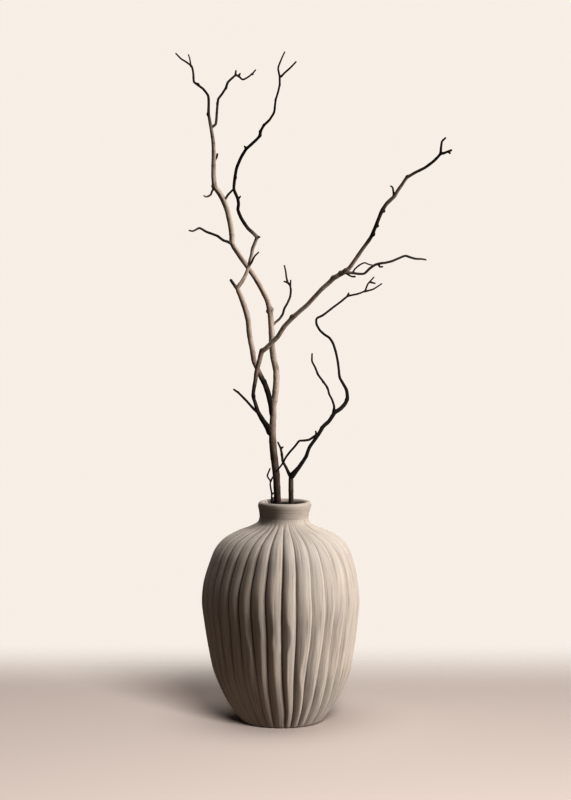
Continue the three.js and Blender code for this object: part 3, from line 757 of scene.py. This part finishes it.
# %% The limbs of the small branch
SIDE_LIMBS = {
    "stem": {
        "radii": [3.3, 3.2, 3],
        "tones": [0.3, 0.3, 0.32, 0.3],
        "points": [(12.5, -12, 8.4), (12.4, -17, 150), (12.3, -21.6, 298), (12, -22.5, 321),
            (12, -23, 338)],
    },
    "right limb": {
        "radii": [3.1, 2.4, 2, 2.3, 2.3, 2.5, 2, 1.5, 1.4, 1.4, 1.3, 1.3, 1.2, 1.2, 1, 0.7],
        "tones": [0.15, 0.05, 0.05, 0.08, 0.05, 0.05, 0.1],
        "points": [(12, -23, 336), (16, -24, 341), (22, -24, 348), (32, -25, 363), (37, -24, 376),
            (44, -23, 386), (50, -21, 395), (55, -18, 403), (63, -14, 410), (71, -8, 421), (79, -3, 426),
            (85, 2, 432), (88, 6, 438), (87, 13, 450), (82, 17, 459), (78, 21, 466), (77, 25, 476),
            (76, 29, 485), (73, 36, 500), (69, 42, 512), (64, 46, 519), (59, 48, 522), (52, 52, 528),
            (47, 56, 537), (47, 59, 544), (55, 62, 548), (70, 69, 559), (81, 73, 567), (90, 77, 574),
            (104, 81, 577), (114, 85, 581), (118, 88, 590), (127, 92, 600)],
    },
    "right limb fork": {
        "radii": [1.1, 0.8],
        "tones": [0.1, 0.2],
        "points": [(113, 85, 580), (125, 88, 583), (138, 93, 591)],
    },
    "left twig": {
        "radii": [2, 1.6, 1.4, 0.9],
        "tones": [0.2, 0.25, 0.2],
        "points": [(12, -23, 336), (9, -22, 341), (5, -19, 349), (1, -15, 356), (0, -11, 364),
            (-2, -7, 373), (-6, -2, 381)],
    },
    "crossing twig": {
        "radii": [1.5, 1.2, 1.1, 0.8],
        "tones": [0.08, 0.08],
        "points": [(47, -22, 392), (43, -23, 390), (36, -25, 386), (28, -26, 385), (24, -26, 385),
            (17, -26, 377), (10, -25, 369), (5, -24, 362), (1, -22, 354), (-8, -18, 342)],
    },
    "inner twig": {
        "radii": [1.5, 1.2, 1.2, 1.1, 0.8],
        "tones": [0.08, 0.1, 0.2],
        "points": [(69, -8, 420), (70, -10, 429), (67, -14, 439), (63, -18, 447), (61, -22, 455),
            (55, -26, 464), (48, -31, 474), (44, -35, 484), (40, -38, 492), (40, -41, 503)],
    },
    "dead stub": {
        "radii": [1.8, 1.2],
        "tones": [0.08, 0.08],
        "points": [(52, -19, 400), (55, -18, 404), (58, -17, 406)],
    },
}  # fmt: skip
print(len(SIDE_LIMBS), "limbs on the small branch")

# %% [markdown]
# Spurs are the short stumps and side shoots. They are all equally thin, so each is only a few points.
# Knots sit where a shoot once grew and where a limb turns sharply: each is (x, y, z, radius).

# %% Spurs and knots
MAIN_SPURS = [
    [(-64, 90, 875), (-63, 93, 883)],
    [(-60, 91.5, 874), (-57, 92, 879)],
    [(-43, 97, 878), (-39, 97, 877)],
    [(-59, -6, 706), (-55, -7, 711)],
    [(-47, -29, 773), (-50, -30, 777)],
    [(-36, 20, 655), (-29, 18, 656)],
    [(146, -80, 711), (145, -82, 718), (144, -84, 722), (141, -84, 724)],
    [(129, -17, 621), (130, -18, 617), (135, -17, 617)],
    [(11, 61, 588), (12, 64, 597)],
    [(215, -101, 768), (218, -102, 765)],
]
SIDE_SPURS = [
    [(46, -22, 392), (45, -23, 398)],
    [(89, 77, 573), (92, 78, 579)],
    [(-2, -7, 372), (2, -8, 375)],
    [(121, 89, 593), (129, 91, 591)],
]
MAIN_KNOTS = [
    (-7.5, 34, 480, 3.4), (-20, 38, 555, 3), (-12.5, 38, 558, 2.8), (-94, 56, 724, 3),
    (-23, 26, 461, 3), (-45, 18, 522, 2.7), (-40, 24, 639, 2.4), (-33, 19, 656, 2.4),
    (-28, -35, 790, 2.4), (-38, 6, 442, 2.9), (-28, -7, 505, 3.4), (-5, -14, 523, 3),
    (13, -22, 551, 3.5), (67, -42, 604, 3.2), (77, -45, 611, 2.9), (83, -47, 613, 3),
    (121, -64, 660, 2.6), (127, -66, 671, 2.6), (135, -73, 690, 2.7),
]  # fmt: skip
SIDE_KNOTS = [(16, -24, 340, 3), (33, -25, 364, 2.7), (70, -8, 423, 2.8), (87, 6, 437, 3)]
print(len(MAIN_SPURS + SIDE_SPURS), "spurs and", len(MAIN_KNOTS + SIDE_KNOTS), "knots")

# %% [markdown]
# Smaller swellings sit all along the limbs: the scars of old buds and leaves, written as knots are.

# %% Bud scars
MAIN_SCARS = [
    (-102, 70, 822, 2.1), (-114, 76, 864, 1.9), (-92, 62, 782, 1.8), (-88, 79, 843, 1.9),
    (-75, 84, 858, 2.1), (-90, 77, 837, 1.6), (-87, 32, 658, 1.8), (-30, -37, 796, 1.9),
    (-25, -39, 805, 1.8), (-10, -44, 822, 1.7), (-9, -46, 837, 1.7), (-2, -47, 856, 1.3),
    (-5, -46, 878, 1.2), (-61, -15, 735, 2.2), (162, -87, 737, 2.1), (205, -98, 765, 1.8),
    (109, -31, 608, 1.9), (129, -17, 621, 1.9), (166, 8, 631, 1.6), (-58, -8, 449, 1.7),
]  # fmt: skip
SIDE_SCARS = [
    (78, 21, 467, 2.2), (64, 46, 519, 1.9), (47, 59, 544, 1.8), (90, 77, 574, 1.6), (-1, -11, 364, 1.9),
    (60, -22, 455, 1.7), (54, -26, 463, 1.6), (47, -31, 474, 1.7), (44, -35, 484, 1.5),
    (25, -26, 385, 1.6),
]  # fmt: skip
print(len(MAIN_SCARS + SIDE_SCARS), "scars")

# %% [markdown]
# ## A limb as a surface
#
# A limb is a ring carried along its line. A perfect ring would look like a pipe, so its radius changes
# both along and round the limb: broad lobes that turn slowly as the wood twists, shallow furrows of
# shrunken bark that follow the grain, and a faint swelling every few centimetres, where a leaf once
# grew. The lobes and furrows swing evenly about the measured radius, so that on the whole no limb
# grows fatter than it.

# %% The relief of the bark
MOST_TWIST, MOST_DRIFT = 0.02, 0.05
LOBES = ((2, 0.04), (3, 0.03), (5, 0.015))
FURROWS, FURROW_DEPTH, FURROW_TWIST = 9, 0.014, 4
SWAY, SWAY_PER_MM, SWAY_START = 2.5, 0.11, 6
LEAF_GAPS, LEAF_PLACES, LEAF_SWELLING = (11, 26), 90, 0.055
LEAF_WIDTH, LEAF_WIDTH_BY_RADIUS = 0.9, 0.35


def bark_relief(around, along, radius, draw):
    """The factor on the radius at each point: one, and sums of waves round and along the limb."""
    twist = along * draw.uniform(-MOST_TWIST, MOST_TWIST)
    relief = 0.0
    for lobes, depth in LOBES:
        start, drift = draw.uniform(0, 2 * math.pi), draw.uniform(-MOST_DRIFT, MOST_DRIFT)
        relief = relief + depth * np.cos(lobes * (around + twist) + drift * along + start)
    sway = SWAY * np.sin(along * SWAY_PER_MM + draw.uniform(0, SWAY_START))
    relief = relief + FURROW_DEPTH * np.cos(FURROWS * around + sway + twist * FURROW_TWIST)
    leaves = np.cumsum(draw.uniform(*LEAF_GAPS, LEAF_PLACES))[None, :]
    width = LEAF_WIDTH + LEAF_WIDTH_BY_RADIUS * radius
    swelling = np.exp(-(((along - leaves) / width) ** 2)).sum(axis=1, keepdims=True)
    return 1 + relief + LEAF_SWELLING * swelling


print(len(LOBES), "kinds of lobes and", FURROWS, "furrows round each limb")

# %% [markdown]
# The line is pulled tight, because old twigs turn in kinks. The root flares where it leaves its parent,
# and the tip closes in a round end. A curve object with a round bevel would carry a ring too, but it
# couldn't take the relief, nor keep the bark's own coordinates for the finish.

# %% Carry a ring along a limb
RING_STEP, FEWEST_RINGS, FINE_PER_POINT = 1.3, 4, 32
THINNEST_COLUMNS, COLUMNS_PER_MM = 10, 3
FEWEST_COLUMNS, MOST_COLUMNS = 12, 24
LIMB_SLACK, LOOSE_SKIN = 0.55, 0.15
TIP_TURNS = np.radians([30, 55, 75])
ROOT_FLARE, FLARE_LENGTH = 0.35, 3.2
GRAIN_SHIFT = 900
MAIN_SEED, SIDE_SEED = 100, 200


def limb_surface(limb, seed):
    """A limb's rings, its two end points, and the bark's own coordinates and tone on each point.

    In words: at each place along the line, side and across are two directions square to it, and the
    ring is the place plus radius times (cosine of the turn times side + sine of the turn times across).
    """
    draw = np.random.default_rng(seed)
    points, radii, tones = np.array(limb["points"], float), limb["radii"], limb["tones"]
    knots = lengths(points)
    fine = np.linspace(0, knots[-1], FINE_PER_POINT * len(points))
    line = through(knots, points, fine, LIMB_SLACK)
    run = lengths(line)
    total, tip = run[-1], radii[-1]
    count = max(FEWEST_RINGS, int(total / RING_STEP))
    along = np.concatenate([np.linspace(0, total - tip, count), total - tip * (1 - np.sin(TIP_TURNS))])
    middle = np.stack([np.interp(along, run, axis) for axis in line.T], axis=1)
    forward = np.gradient(middle, along, axis=0)
    forward /= np.linalg.norm(forward, axis=1, keepdims=True)
    side = np.cross(forward, (0, 1, 0))
    side /= np.linalg.norm(side, axis=1, keepdims=True)
    across = np.cross(forward, side)
    radius = through(np.linspace(0, total, len(radii)), radii, along)
    radius[-len(TIP_TURNS) :, 0] = tip * np.cos(TIP_TURNS)
    columns = THINNEST_COLUMNS + COLUMNS_PER_MM * max(radii)
    columns = int(np.clip(columns, FEWEST_COLUMNS, MOST_COLUMNS))
    turn = np.linspace(0, 2 * math.pi, columns, endpoint=False)[None, :]
    along = along[:, None]
    spread = 1 + ROOT_FLARE * np.exp(-((along / (FLARE_LENGTH * radii[0])) ** 2))
    reach = (radius + LOOSE_SKIN) * spread * bark_relief(turn, along, radius, draw)
    to_side, to_across = reach * np.cos(turn), reach * np.sin(turn)
    rings = middle[:, None, :] + to_side[..., None] * side[:, None, :]
    rings = rings + to_across[..., None] * across[:, None, :]
    grain = np.stack([to_side, to_across, along + 0 * turn + GRAIN_SHIFT * seed], axis=-1)
    tone = through(np.linspace(0, total, len(tones)), tones, along[:, 0]) + 0 * turn
    return rings, middle, line[0], line[-1], grain, tone


stem_rings, stem_middle = limb_surface(MAIN_LIMBS["stem"], MAIN_SEED)[:2]
print("the large stem has", stem_rings.shape[0], "rings of", stem_rings.shape[1], "points")

# %% [markdown]
# ## Knots
#
# A knot is a ball half sunk in the limb. Two meshes pushed into each other would show a hard edge
# round it, so the limb's own points are moved instead: each point that lies inside the ball goes
# straight out until it is on the ball. A little smoothing later turns the edge into a swelling.

# %% Push the surface out to its knots
KNOT_REACH = 1.4


def push_out(rings, middle, knots):
    """Moves each point that is inside a knot's ball out to it.

    In words: with b the distance of the point from the ball's middle, measured along the outward
    line, and c its squared distance less the squared radius, the way out is sqrt(b^2 - c) - b.
    It gives the rings, how far each point was moved, and how near it is to a knot, from 0 to 1.
    """
    balls = np.array(knots, float)
    outward = rings - middle[:, None, :]
    outward /= np.linalg.norm(outward, axis=-1, keepdims=True)
    away = rings[:, :, None, :] - balls[:, :3]
    b = (away * outward[:, :, None, :]).sum(axis=-1)
    c = (away**2).sum(axis=-1) - balls[:, 3] ** 2
    way_out = np.where(c < 0, np.sqrt(np.maximum(b**2 - c, 0)) - b, 0).max(axis=-1)
    nearness = np.exp(-(away**2).sum(axis=-1) / (KNOT_REACH * balls[:, 3]) ** 2).max(axis=-1)
    return rings + way_out[..., None] * outward, way_out, nearness


stem_moved = push_out(stem_rings, stem_middle, MAIN_KNOTS)[1]
print("knots move the large stem's bark by up to", round(float(stem_moved.max()), 1), "mm")

# %% [markdown]
# A limb's mesh keeps what the bark and the joints need: the bark's own coordinates, the tone, how far
# a point was moved out to a knot, and the limb's number. They lie on the corners of the faces and not
# on the points, because a point where two limbs will meet then has corners from both.

# %% Make a limb's mesh
KNOT_DARKER = 0.4
LAYERS = ("grain_x", "grain_y", "grain_z", "tone", "moved", "limb")


def with_ends(values):
    """A value for each ring point, as one list with the two end points added."""
    flat = values.reshape(-1, *values.shape[2:])
    return np.concatenate([flat[:1], flat, flat[-1:]])


def corner_points(mesh):
    """The number of the point that each corner of each face lies on."""
    numbers = np.empty(len(mesh.loops), np.int32)
    mesh.loops.foreach_get("vertex_index", numbers)
    return numbers


def limb_mesh(name, number, limb, knots, seed):
    """One limb as a closed mesh that keeps on its corners what the finish and the joints need."""
    rings, middle, first, last, grain, tone = limb_surface(limb, seed)
    rings, moved, nearness = push_out(rings, middle, knots)
    mesh = grid_mesh(name, first, rings, last)
    kept = [grain * MM, tone - KNOT_DARKER * nearness, moved, np.full(tone.shape, float(number))]
    kept = np.column_stack([with_ends(values) for values in kept])[corner_points(mesh)]
    for i, layer_name in enumerate(LAYERS):
        layer = mesh.attributes.new(layer_name, "FLOAT", "CORNER")
        layer.data.foreach_set("value", kept[:, i].astype(np.float32))
    return mesh


# %% [markdown]
# ## Growing the limbs together
#
# A real branch is one piece of wood, so the limbs are joined by a Boolean union: whatever lies inside
# a neighbour goes, and one skin is left. A voxel remesh would join them too, and softly, but it would
# need millions of voxels for twigs two millimetres thick.


# %% Join the limbs
def grow_together(name, meshes):
    """One mesh from many closed ones: the union of all of them."""
    whole = add(name, meshes[0])
    others = bpy.data.collections.new(name + "_limbs")
    scene.collection.children.link(others)
    for mesh in meshes[1:]:
        others.objects.link(bpy.data.objects.new(mesh.name, mesh))
    union = whole.modifiers.new("union", "BOOLEAN")
    union.operation, union.operand_type, union.solver = "UNION", "COLLECTION", "MANIFOLD"
    union.collection = others
    evaluated = whole.evaluated_get(bpy.context.evaluated_depsgraph_get())
    joined = bpy.data.meshes.new_from_object(evaluated)
    joined.name = name
    for spare in list(others.objects) + [whole]:
        bpy.data.objects.remove(spare)
    bpy.data.collections.remove(others)
    return joined


# %% [markdown]
# Where two limbs meet, the union leaves a hard line, and wood has a smooth collar there. So the points
# near such a line are moved towards the average of their neighbours a few times, and so are those
# round a knot. A Smooth modifier would do it too, but only with a vertex group that it is given.

# %% Soften where limbs meet
SEAM_SPREAD, MOVED_ENOUGH, KNOT_SHARE = 1e-4, 0.02, 0.3
SPREAD_ROUNDS, SPREAD_SHARE, MOST_SOFTENING = 3, 0.8, 0.75
SOFTENING_ROUNDS = 10


def neighbour_mean(values, edges, degree):
    """The mean of each point's neighbours along the mesh's edges."""
    ways = np.concatenate([edges, edges[:, ::-1]])
    columns = values.reshape(len(values), -1).T
    sums = [np.bincount(ways[:, 0], column[ways[:, 1]], len(values)) for column in columns]
    return (np.stack(sums, axis=1) / degree[:, None]).reshape(values.shape)


def soften(mesh):
    """Smooths the joints between limbs and the edges of knots, and keeps grain and tone on points.

    In words: a point lies on a seam where the limb numbers on its corners differ, so where the mean
    of their squares is more than the square of their mean.
    """
    count = len(mesh.vertices)
    corner_point = corner_points(mesh)
    uses = np.bincount(corner_point, minlength=count)
    read = {}
    for layer_name in LAYERS:
        values = np.empty(len(corner_point), np.float32)
        mesh.attributes[layer_name].data.foreach_get("value", values)
        read[layer_name] = values
    on_point = {n: np.bincount(corner_point, v, count) / uses for n, v in read.items()}
    limb_square = np.bincount(corner_point, read["limb"] ** 2, count) / uses
    seam = (limb_square - on_point["limb"] ** 2) > SEAM_SPREAD
    edges = np.empty(2 * len(mesh.edges), np.int32)
    mesh.edges.foreach_get("vertices", edges)
    edges = edges.reshape(-1, 2)
    degree = np.bincount(edges.ravel(), minlength=count)
    amount = np.maximum(seam.astype(float), (on_point["moved"] > MOVED_ENOUGH) * KNOT_SHARE)
    for _ in range(SPREAD_ROUNDS):
        amount = np.maximum(amount, SPREAD_SHARE * neighbour_mean(amount, edges, degree))
    amount = np.clip(amount, 0, MOST_SOFTENING)[:, None]
    place = np.empty(3 * count, np.float32)
    mesh.vertices.foreach_get("co", place)
    place, tone = place.reshape(-1, 3).astype(float), on_point["tone"][:, None]
    for _ in range(SOFTENING_ROUNDS):
        place += amount * (neighbour_mean(place, edges, degree) - place)
        tone += np.clip(2 * amount, 0, 1) * (neighbour_mean(tone, edges, degree) - tone)
    mesh.vertices.foreach_set("co", place.astype(np.float32).ravel())
    for layer_name in LAYERS:
        mesh.attributes.remove(mesh.attributes[layer_name])
    grain = np.stack([on_point[layer_name] for layer_name in LAYERS[:3]], axis=1)
    keep_on_points(mesh, "grain", "FLOAT_VECTOR", grain)
    keep_on_points(mesh, "tone", "FLOAT", tone)
    mesh.update()
    mesh.shade_smooth()
    return int(seam.sum())


# %% [markdown]
# ## Dry bark
#
# The bark's colour follows the tone kept on the points, from almost black on twigs over brown to a
# pinkish taupe where the old skin has gone. Over it lie fibres and hair cracks that run with the
# grain, blotches about two centimetres long, and small dark pores across the grain. Patterns on plain
# Object coordinates would cut through the bends, so these read the bark's own coordinates, round and
# along each limb, and the fibres turn with every bend.

# %% The bark's finish
BARK_BLACK, BARK_BROWN = (0.016, 0.0125, 0.0105), (0.07, 0.052, 0.041)
BARK_TAUPE, BARK_PALE = (0.23, 0.183, 0.15), (0.4, 0.345, 0.295)
BLOTCHES, BLOTCHES_DRAWN_OUT = 130, 0.4
FIBRES, FIBRES_DRAWN_OUT = 1500, 0.06
CRACKS, CRACKS_DRAWN_OUT = 700, 0.09
PORES, PORES_FLAT = 420, 0.6
BLOTCH_SWING, FIBRE_SWING = 0.5, 0.28
DARK_CRACKS, DARK_PORES = 0.45, 0.3
DRY_SHEEN, BARK_BUMP = 0.15, 0.22


def bark(name):
    """Black, brown, taupe and pale by the tone, with blotches and fibres, then cracks and pores."""
    wood = Finish(bpy.data.materials.new(name))
    grain, tone = wood.kept("grain", 1), wood.kept("tone", 2)
    blotches = wood.noise(wood.stretched(grain, 1, 1, BLOTCHES_DRAWN_OUT), BLOTCHES, 3)
    fibres = wood.noise(wood.stretched(grain, 1, 1, FIBRES_DRAWN_OUT), FIBRES, 3, 0.6)
    cracks = wood.noise(wood.stretched(grain, 1, 1, CRACKS_DRAWN_OUT), CRACKS, 2, 0.5)
    flat = wood.stretched(grain, PORES_FLAT, PORES_FLAT, 1)
    pores = wood.node("ShaderNodeTexVoronoi", None, {"Vector": flat, "Scale": PORES})
    pale = tone + (blotches - 0.5) * BLOTCH_SWING + (fibres - 0.5) * FIBRE_SWING
    colour = wood.blend(wood.step(pale, 0.0, 0.4), BARK_BLACK, BARK_BROWN)
    colour = wood.blend(wood.step(pale, 0.3, 0.66), colour, BARK_TAUPE)
    colour = wood.blend(wood.step(pale, 0.6, 1.0), colour, BARK_PALE)
    crack_line = wood.step(cracks, 0.4, 0.33)
    colour = wood.blend(crack_line * DARK_CRACKS, colour, BARK_BLACK)
    colour = wood.blend(wood.step(pores, 0.2, 0.1) * DARK_PORES, colour, BARK_BLACK)
    height = fibres * 0.5 + blotches * 0.4 - crack_line * 0.6
    wood.shader.inputs["Specular IOR Level"].default_value = DRY_SHEEN
    return wood.dress(colour, 0.72 + 0.2 * fibres, wood.bump(height, BARK_BUMP))


# %% [markdown]
# ## Both branches
#
# The same steps make the large and the small branch: the limbs and spurs become closed tubes, the
# tubes become one skin, the joints are softened, and the bark goes on. Each limb has its own seed, so
# that no two have the same relief.

# %% Grow both branches
SPUR_RADII, SPUR_TONES = [1.1, 1.0, 0.8], [0.12, 0.2]


def branch(name, node, slot, limbs, spurs, knots, first_seed):
    """Builds every limb and spur, joins them, softens the joints and dresses the result."""
    grown = list(limbs.items())
    for i, points in enumerate(spurs):
        grown.append((f"spur {i}", {"radii": SPUR_RADII, "tones": SPUR_TONES, "points": points}))
    meshes = [limb_mesh(n, i, limb, knots, first_seed + i) for i, (n, limb) in enumerate(grown)]
    mesh = grow_together(name, meshes)
    joints = soften(mesh)
    piece = add(name, mesh)
    mesh.materials.clear()
    mesh.materials.append(bark(slot))
    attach(piece, "root")
    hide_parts(node)
    triangles = sum(len(face.vertices) - 2 for face in mesh.polygons)
    print(name, "has", len(grown), "limbs,", triangles, "triangles and", joints, "points on joints")


main_swellings, side_swellings = MAIN_KNOTS + MAIN_SCARS, SIDE_KNOTS + SIDE_SCARS
branch("pale_branch", "main_branch", "pale_bark", MAIN_LIMBS, MAIN_SPURS, main_swellings, MAIN_SEED)
branch("dark_branch", "side_branch", "dark_bark", SIDE_LIMBS, SIDE_SPURS, side_swellings, SIDE_SEED)

# %% [markdown]
# ## The floor
#
# The arrangement stands on a plain pale floor. A floor that ends in a line would cut through the vase,
# so its matt paint fades out to the back and the front, and further away to the sides. To the camera
# the paint is pale, and to the light that it throws back at the vase it is darker and warmer: a real
# room's floor is shaded further away, and that keeps the foot of the vase dark.

# %% Lay the floor
FLOOR_HALF_SIDE, FLOOR_ROUGHNESS = 1.8, 0.9
FLOOR_PAINT, FLOOR_BOUNCE_SHADE = (0.55, 0.492, 0.462), (0.29, 0.23, 0.19)
FADE_BACK, FADE_FRONT, FADE_SIDE = (0.18, 0.58), (0.5, 1.1), (0.8, 1.7)

floor_mesh = bpy.data.meshes.new("floor")
corners = FLOOR_HALF_SIDE * np.array([(-1, -1, 0), (1, -1, 0), (1, 1, 0), (-1, 1, 0)])
floor_mesh.from_pydata(corners, [], [(0, 1, 2, 3)])
floor = add("floor", floor_mesh)
paint = Finish(bpy.data.materials.new("floor_paint"))
across = paint.node("ShaderNodeSeparateXYZ", None, {0: paint.place()})
back = Wire(paint, across.socket.node.outputs[1])
sides = paint.step(across, *FADE_SIDE) + paint.step(0 - across, *FADE_SIDE)
kept = (1 - sides) * (1 - paint.step(back, *FADE_BACK)) * (1 - paint.step(0 - back, *FADE_FRONT))
from_camera = paint.node("ShaderNodeLightPath")
# painted shade: rays other than the camera's see the floor darker and warmer, so it throws back less
# light
paint.feed(paint.shader.inputs["Base Color"], paint.blend(from_camera, FLOOR_BOUNCE_SHADE, FLOOR_PAINT))
paint.shader.inputs["Roughness"].default_value = FLOOR_ROUGHNESS
paint.feed(paint.shader.inputs["Alpha"], kept)
floor_mesh.materials.append(paint.material)
print("floor", 2 * FLOOR_HALF_SIDE, "m across")

# %% [markdown]
# ## The light
#
# A large soft lamp stands to the right, well above. It grazes the front of the vase, so that each rib
# has a lit flank and a shaded one. A lower one on the same side reaches under the belly, a weak wide
# one overhead lights the shoulder all round, and a weak one behind keeps the far side from going
# black. Such lamps would throw hard shadows over the floor, so all but the one overhead leave the
# floor out, by light linking, and the floor has its own soft lamp in front. The room gives a little
# warm light, which keeps the shaded side brown.
#
# A row of the table has a lamp's turn from the front to the right and its rise, both in degrees, its
# distance and width in metres, its watts, and what light linking does: EXCLUDE leaves the floor out,
# and INCLUDE lights the floor alone.

# %% Set up the lamps
LAMP_COLOUR = (1.0, 0.968, 0.94)
AIMED_AT = np.array([0, 0, 0.4])
LAMPS = [
    ("main_lamp", 58, 44, 3.4, 1.3, 109, "EXCLUDE"),
    ("low_lamp", 70, 3, 3.4, 1.2, 136, "EXCLUDE"),
    ("top_lamp", 0, 90, 2.2, 2.0, 36, None),
    ("back_lamp", 186, 33, 3.4, 1.8, 82, "EXCLUDE"),
    ("floor_lamp", 18, 28, 3.2, 1.6, 172, "INCLUDE"),
]


def add_lamp(name, turn, rise, distance, width, power):
    """A round soft lamp that looks at the middle of the arrangement."""
    turn, rise = math.radians(turn), math.radians(rise)
    level = np.array([math.sin(turn), -math.cos(turn), 0]) * math.cos(rise)
    lamp = add(name, bpy.data.lights.new(name, "AREA"))
    lamp.data.shape, lamp.data.size, lamp.data.energy = "DISK", width, power
    lamp.data.color = LAMP_COLOUR
    lamp.location = AIMED_AT + distance * (level + (0, 0, math.sin(rise)))
    lamp.rotation_euler = (math.pi / 2 - rise, 0, turn)
    return lamp


for *lamp_values, floor_state in LAMPS:
    lamp = add_lamp(*lamp_values)
    if floor_state:
        linked = bpy.data.collections.new(lamp.name + "_floor")
        linked.objects.link(floor)
        linked.collection_objects[0].light_linking.link_state = floor_state
        lamp.light_linking.receiver_collection = linked
print(len(LAMPS), "lamps")

# %% [markdown]
# ## The room
#
# The camera sees a pale backdrop, but the room's own light has to stay weak, or it would wash out the
# shade between the ribs. A Light Path node tells a ray from the camera from any other ray, so each gets
# its own background. The picture was printed with strong contrast, and the view's gamma does the same.

# %% Light the room
BACKDROP_COLOUR = (0.95, 0.895, 0.84)
ROOM_COLOUR, ROOM_LIGHT = (1.0, 0.72, 0.59), 0.04
VIEW_GAMMA = 0.75

scene.world = bpy.data.worlds.new("room")
room = Finish(scene.world)
backdrop, output = room.tree.nodes["Background"], room.tree.nodes["World Output"]
room.feed(backdrop.inputs["Color"], (*BACKDROP_COLOUR, 1))
fill = room.node("ShaderNodeBackground", None, {"Color": (*ROOM_COLOUR, 1), "Strength": ROOM_LIGHT})
seen = Wire(room, backdrop.outputs[0])
from_camera = room.node("ShaderNodeLightPath")
either = room.node("ShaderNodeMixShader", None, {0: from_camera, 1: fill, 2: seen})
room.feed(output.inputs["Surface"], either)
scene.view_settings.view_transform = "Standard"
scene.view_settings.gamma = VIEW_GAMMA
print("the room's light is", ROOM_LIGHT, "of the backdrop's strength")
